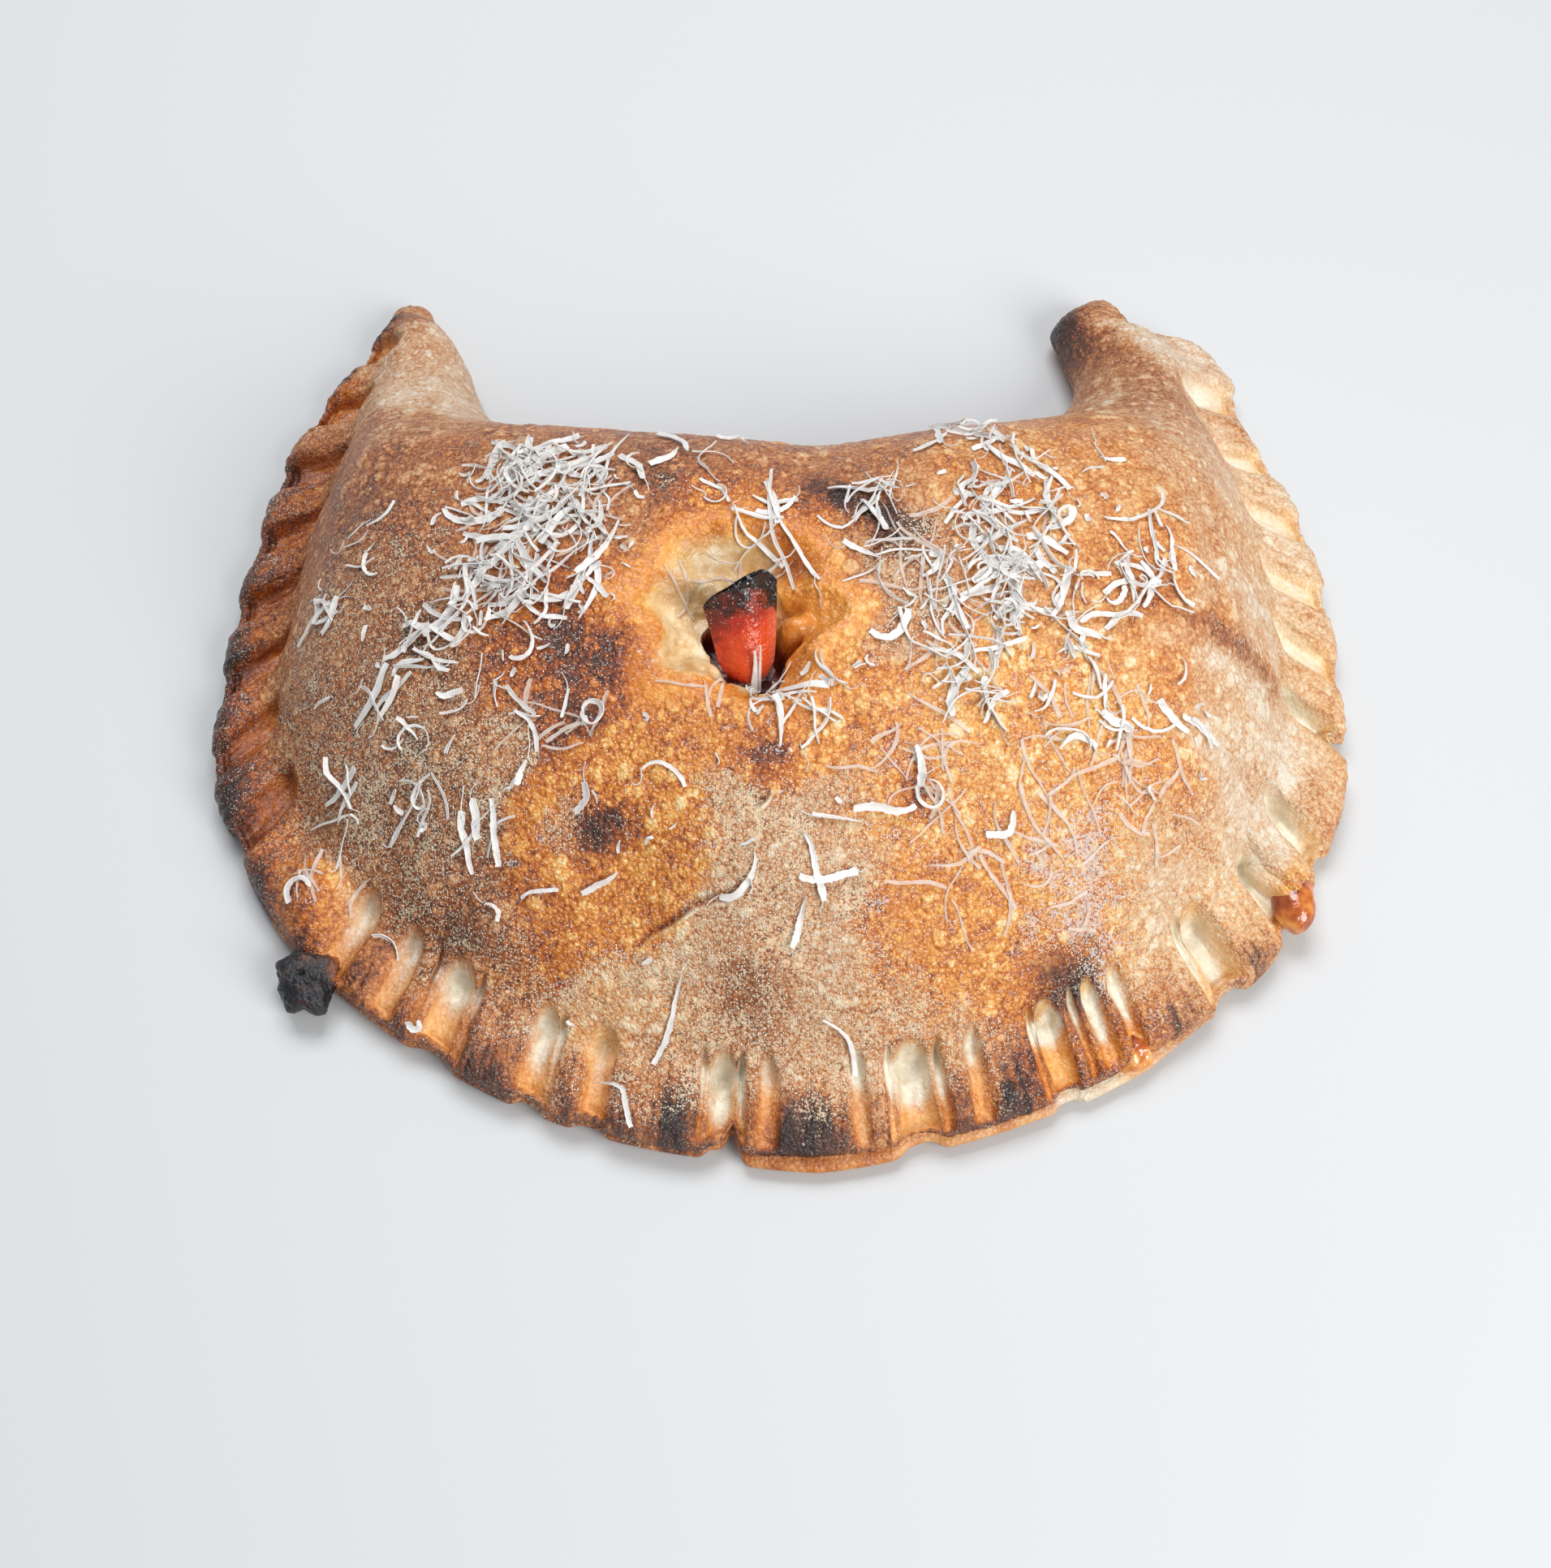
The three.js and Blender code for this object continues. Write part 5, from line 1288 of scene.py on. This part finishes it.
def layShreds(rows, thickness, stations, stiff, ground, sink=0.0, curl=1.1):
    # each path bends from its first heading by bend * s^unevenness; its height is a parabola through the
    # ground below, lifted clear of it, mixed with the ground itself for limp strips; then the ground rises
    # to its top
    s = np.linspace(0, 1, stations)
    centres, sides = [], []
    for x, y, heading, length, bend in rows:
        turning = s ** cheeseDraw.uniform(0.6, 2.0)
        kink = cheeseDraw.normal(0, 26) * (0.2 + stiff)
        kink = kink * smooth01((s - cheeseDraw.uniform(0.15, 0.85)) / 0.2 + 0.5)
        waves = 9 * np.sin(6 * s + cheeseDraw.uniform(0, 6))
        direction = np.radians(heading + bend * (turning - 0.5) + kink + waves)
        step = np.stack([np.cos(direction), np.sin(direction)], -1) * length / (stations - 1)
        path = np.cumsum(step, 0)
        path = path - path.mean(0) + [x, y]
        across = np.stack([-np.sin(direction), np.cos(direction)], -1)
        below = np.max([ground.read(*(path + across * shift).T) for shift in (-0.6, 0, 0.6)], axis=0)
        fit = np.polyval(np.polyfit(s, below, 2), s)
        fit = fit + max(0, np.quantile(below - fit, 0.85))
        height = stiff * fit + (1 - stiff) * below
        height = np.maximum(height, below) * 0.7 + height * 0.3
        lift = stiff * curl * cheeseDraw.uniform(0, 1.2, 2) ** 3
        height = height + lift[0] * (1 - s) ** 3 + lift[1] * s ** 3 + thickness / 2 - sink
        if abs(bend) > cheese["fullCurl"]:
            height = height + cheese["curlRise"] * smooth01(2 * s - 1)
        centres.append(np.concatenate([path, height[:, None]], -1))
        sides.append(across)
        fine = np.linspace(0, stations - 1, stations * 3)
        trace = np.stack([np.interp(fine, np.arange(stations), column) for column in centres[-1].T])
        ground.raiseTo(trace[0], trace[1], trace[2] + thickness / 2)
    return np.array(centres), np.array(sides)


def ribbonMesh(centres, sides, widths, thickness, salt, roll, ragged=0.22):
    # a six-cornered strip round each path: three corners above and three below, hollowed across and rolled
    # about the path, with ragged edges, one end torn broad and the other drawn thin
    shreds, stations = centres.shape[:2]
    s = np.linspace(0, 1, stations)
    tangent = np.gradient(centres, axis=1)
    tangent /= np.linalg.norm(tangent, axis=-1, keepdims=True)
    side = np.concatenate([sides, np.zeros((shreds, stations, 1))], -1)
    up = np.cross(tangent, side)
    up /= np.linalg.norm(up, axis=-1, keepdims=True)
    draw = np.random.default_rng(salt)
    start, change = draw.normal(0, roll, shreds), draw.normal(0, roll, shreds)
    angle = np.radians(start[:, None] + change[:, None] * s)
    lifted = centres + np.abs(np.sin(angle))[..., None] * widths[:, None, None] * [0, 0, 0.3]
    angle = angle[..., None]
    side, up = side * np.cos(angle) + up * np.sin(angle), up * np.cos(angle) - side * np.sin(angle)
    thinEnd = draw.uniform(0.1, 0.9, (shreds, 1))
    taper = (1 - 0.25 * (1 - s) ** 6) * (1 - (1 - thinEnd) * s ** 2.2)
    across = np.array([-1, 0, 1, 1, 0, -1])
    above = np.array([1, 1, 1, -1, -1, -1])
    edges = 1 + ragged * draw.uniform(-1, 1, (shreds, stations, 3))[..., [0, 1, 2, 2, 1, 0]]
    hollow = 0.14 * widths[:, None, None] * (across ** 2 - 0.4)
    a = across * edges * (widths[:, None] * taper / 2)[..., None]
    b = above * thickness / 2 + hollow
    ring = lifted[:, :, None] + side[:, :, None] * a[..., None] + up[:, :, None] * b[..., None]
    body = gridFaces(stations, 6, wrapRows=True)[:, ::-1]
    first, last = np.arange(6)[None, :], (stations - 1) * 6 + np.arange(6)[None, ::-1]
    offset = (np.arange(shreds) * stations * 6)[:, None, None]
    faces = [(body[None] + offset).reshape(-1, 4),
             np.concatenate([first[None] + offset, last[None] + offset]).reshape(-1, 6)]
    along = np.broadcast_to((s * 12)[None, :, None], ring.shape[:3])
    around = np.broadcast_to(across * 1.0 + 3 * np.arange(shreds)[:, None, None], ring.shape[:3])
    return ring.reshape(-1, 3), faces, np.stack([along, around], -1).reshape(-1, 2)


def strandRows(centres, sides, share):
    # thin strands that part from a shred's path near either end: their middle, heading, length and bend
    chosen = np.flatnonzero(cheeseDraw.random(len(centres)) < share)
    atEnd = cheeseDraw.choice([1, -2], len(chosen))
    start = centres[chosen, atEnd]
    onward = np.degrees(np.arctan2(-sides[chosen, atEnd, 0], sides[chosen, atEnd, 1]))
    heading = onward + np.where(atEnd == 1, 180, 0) + cheeseDraw.normal(0, 28, len(chosen))
    length = cheeseDraw.uniform(*cheese["strandLength"], len(chosen))
    bend = cheeseDraw.normal(0, 90, len(chosen))
    forward = np.stack([np.cos(np.radians(heading)), np.sin(np.radians(heading))], -1)
    middle = start[:, :2] + 0.45 * length[:, None] * forward
    return np.concatenate([middle, heading[:, None], length[:, None], bend[:, None]], 1)


def joinMeshes(parts):
    vertices, quads, ends, uv, start = [], [], [], [], 0
    for points, (quad, end), flat in parts:
        vertices.append(points)
        quads.append(quad + start)
        ends.append(end + start)
        uv.append(flat)
        start += len(points)
    return np.concatenate(vertices), [np.concatenate(quads), np.concatenate(ends)], np.concatenate(uv)


def cheeseMaterial(name, light, dark, roughness, glow, alpha):
    # fibres drawn out along each shred's own UV map, where a size of 1000 is one unit, over soft blotches
    kit = Nodes(name)
    fibres = kit.noise(900, at=kit.uvStretched(0.3, 2.8))
    blotches = kit.noise(2.0, 2, 0.5)
    shade = kit.between(kit.plus((fibres, 0.55, 0), (blotches, 0.45, 0)), 0.36, 0.62)
    return kit.finish(kit.mix(shade, dark, light), roughness, kit.bump(fibres, 0.2, 0.8), Alpha=alpha,
                      Subsurface_Weight=glow, Subsurface_Radius=(0.002, 0.0016, 0.0012))


print("cheese: laying the shreds")
ground = HeightMap(crustPoints[:, :top].reshape(-1, 3), 0.7)
ground.raiseTo(*sausageVertices.T)

meltedRows = drawShreds(cheese["melted"]) * [1, 1, 1, 1, cheese["meltedBend"]]
meltedWidths = cheeseDraw.uniform(*cheese["meltedWidth"], len(meltedRows))
meltedLaid = layShreds(meltedRows, cheese["meltedThickness"], 12, 0.0, ground, cheese["meltedSink"])

parts, laidShreds = [], []
freshRows = drawShreds(cheese["fresh"])
broad = cheeseDraw.random(len(freshRows)) < cheese["broadShare"]
curly = np.abs(freshRows[:, 4]) > cheese["curledPast"]
for k, (ofKind, (low, high, thickness, roll, bend)) in enumerate(zip((broad, ~broad), cheese["kinds"])):
    for curled in (False, True):
        rows = freshRows[ofKind & (curly == curled)] * [1, 1, 1, 1, bend]
        widths = low + (high - low) * cheeseDraw.beta(1.4, 1.6, len(rows))
        stations = cheese["curlStations"] if curled else cheese["stations"]
        laid = layShreds(rows, thickness, stations, cheese["stiff"], ground)
        laidShreds.append(laid)
        parts.append(ribbonMesh(*laid, widths, thickness, 900 + 2 * k + curled, roll))


def addBits(rows, width, salt, stations, stiff, sink=0.0, curl=1.1):
    # thin bits laid as the shreds are, their widths spread evenly
    laid = layShreds(rows, cheese["bits"], stations, stiff, ground, sink, curl)
    widths = cheeseDraw.uniform(*cheese[width], len(rows))
    parts.append(ribbonMesh(*laid, widths, cheese["bits"], salt, cheese["bitRoll"]))
    return laid


singleRows = np.array(cheese["single"], float) + [*toFrame[:2], 0, 0, 0]
laidShreds.append(addBits(singleRows, "singleWidth", 910, cheese["curlStations"], cheese["stiff"]))
strands = np.concatenate([strandRows(*laid, cheese["strandShare"]) for laid in laidShreds])
addBits(strands, "strandWidth", 920, 8, 0.9, sink=0.25, curl=2.5)
addBits(drawShreds(cheese["crumbs"]), "crumbWidth", 930, 5, 0.6)

vertices, faces, uv = joinMeshes(parts)
finish = cheeseMaterial("hard cheese", **cheese["freshLook"])
cheeseShreds = newPiece("cheese_shreds", vertices, faces, finish, "baked_crust", uv=uv, sharp=50)
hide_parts("crust")
vertices, faces, uv = ribbonMesh(*meltedLaid, meltedWidths, cheese["meltedThickness"], 950, 2, 0.3)
finish = cheeseMaterial("melted cheese", **cheese["meltedLook"])
cheeseMelted = newPiece("cheese_melted", vertices, faces, finish, "baked_crust", uv=uv, sharp=50)
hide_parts("crust")


studio = {
    "floor": (206, 208, 210), "floorSize": 6.0, "floorHeight": -0.0003,     # in metres, as the lights are
    "window": {"at": (0.68, -0.62, 0.68), "size": (0.6, 0.7), "power": 10.5, "colour": (1.0, 0.98, 0.95)},
    "sky": {"at": (-0.1, 0.6, 1.15), "size": (0.9, 0.6), "power": 12, "colour": (0.96, 0.98, 1.0)},
    "world": (0.95, 0.97, 1.0), "worldStrength": 0.32,
}
# a pinhole in millimetres from the same zero as the sections, its focal length and frame height in like units
view = {"at": (-1.316, -232.815, 402.148), "down": 62.428, "roll": 0.8367, "focal": 2500, "frame": 1932}


def addFloor():
    reach, height = studio["floorSize"] / 2, studio["floorHeight"]
    mesh = bpy.data.meshes.new("floor")
    corners = [(x * reach, y * reach, height) for x, y in ((-1, -1), (1, -1), (1, 1), (-1, 1))]
    mesh.from_pydata(corners, [], [(0, 1, 2, 3)])
    kit = Nodes("pale floor")
    mesh.materials.append(kit.finish(studio["floor"], 0.6, None))
    floor = bpy.data.objects.new("floor", mesh)
    bpy.context.scene.collection.objects.link(floor)


def addLight(name, at, size, power, colour):
    # it shines from its place towards the origin
    light = bpy.data.lights.new(name, "AREA")
    light.shape, light.size, light.size_y = "RECTANGLE", *size
    light.energy, light.color = power, colour
    holder = bpy.data.objects.new(name, light)
    holder.location = at
    holder.rotation_euler = holder.location.to_track_quat("Z", "Y").to_euler()
    bpy.context.scene.collection.objects.link(holder)


def addCamera():
    # it looks along +y and down by "down" degrees, and "roll" turns the picture
    camera = bpy.data.cameras.new("camera")
    camera.sensor_width = 36
    camera.lens = view["focal"] / view["frame"] * camera.sensor_width
    camera.clip_start = 0.01
    holder = bpy.data.objects.new("camera", camera)
    tilt = Matrix.Rotation(math.radians(90 - view["down"]), 4, "X")
    roll = Matrix.Rotation(math.radians(view["roll"]), 4, "Z")
    holder.matrix_world = Matrix.Translation((np.array(view["at"]) + toFrame) * mm) @ (tilt @ roll)
    bpy.context.scene.collection.objects.link(holder)
    bpy.context.scene.camera = holder


addFloor()
addLight("window light", **studio["window"])
addLight("sky light", **studio["sky"])
world = bpy.data.worlds.new("soft studio")
world.use_nodes = True
world.node_tree.nodes["Background"].inputs["Color"].default_value = (*studio["world"], 1)
world.node_tree.nodes["Background"].inputs["Strength"].default_value = studio["worldStrength"]
bpy.context.scene.world = world
bpy.context.scene.view_settings.view_transform = "Standard"
addCamera()
print("studio: floor, lights and camera")
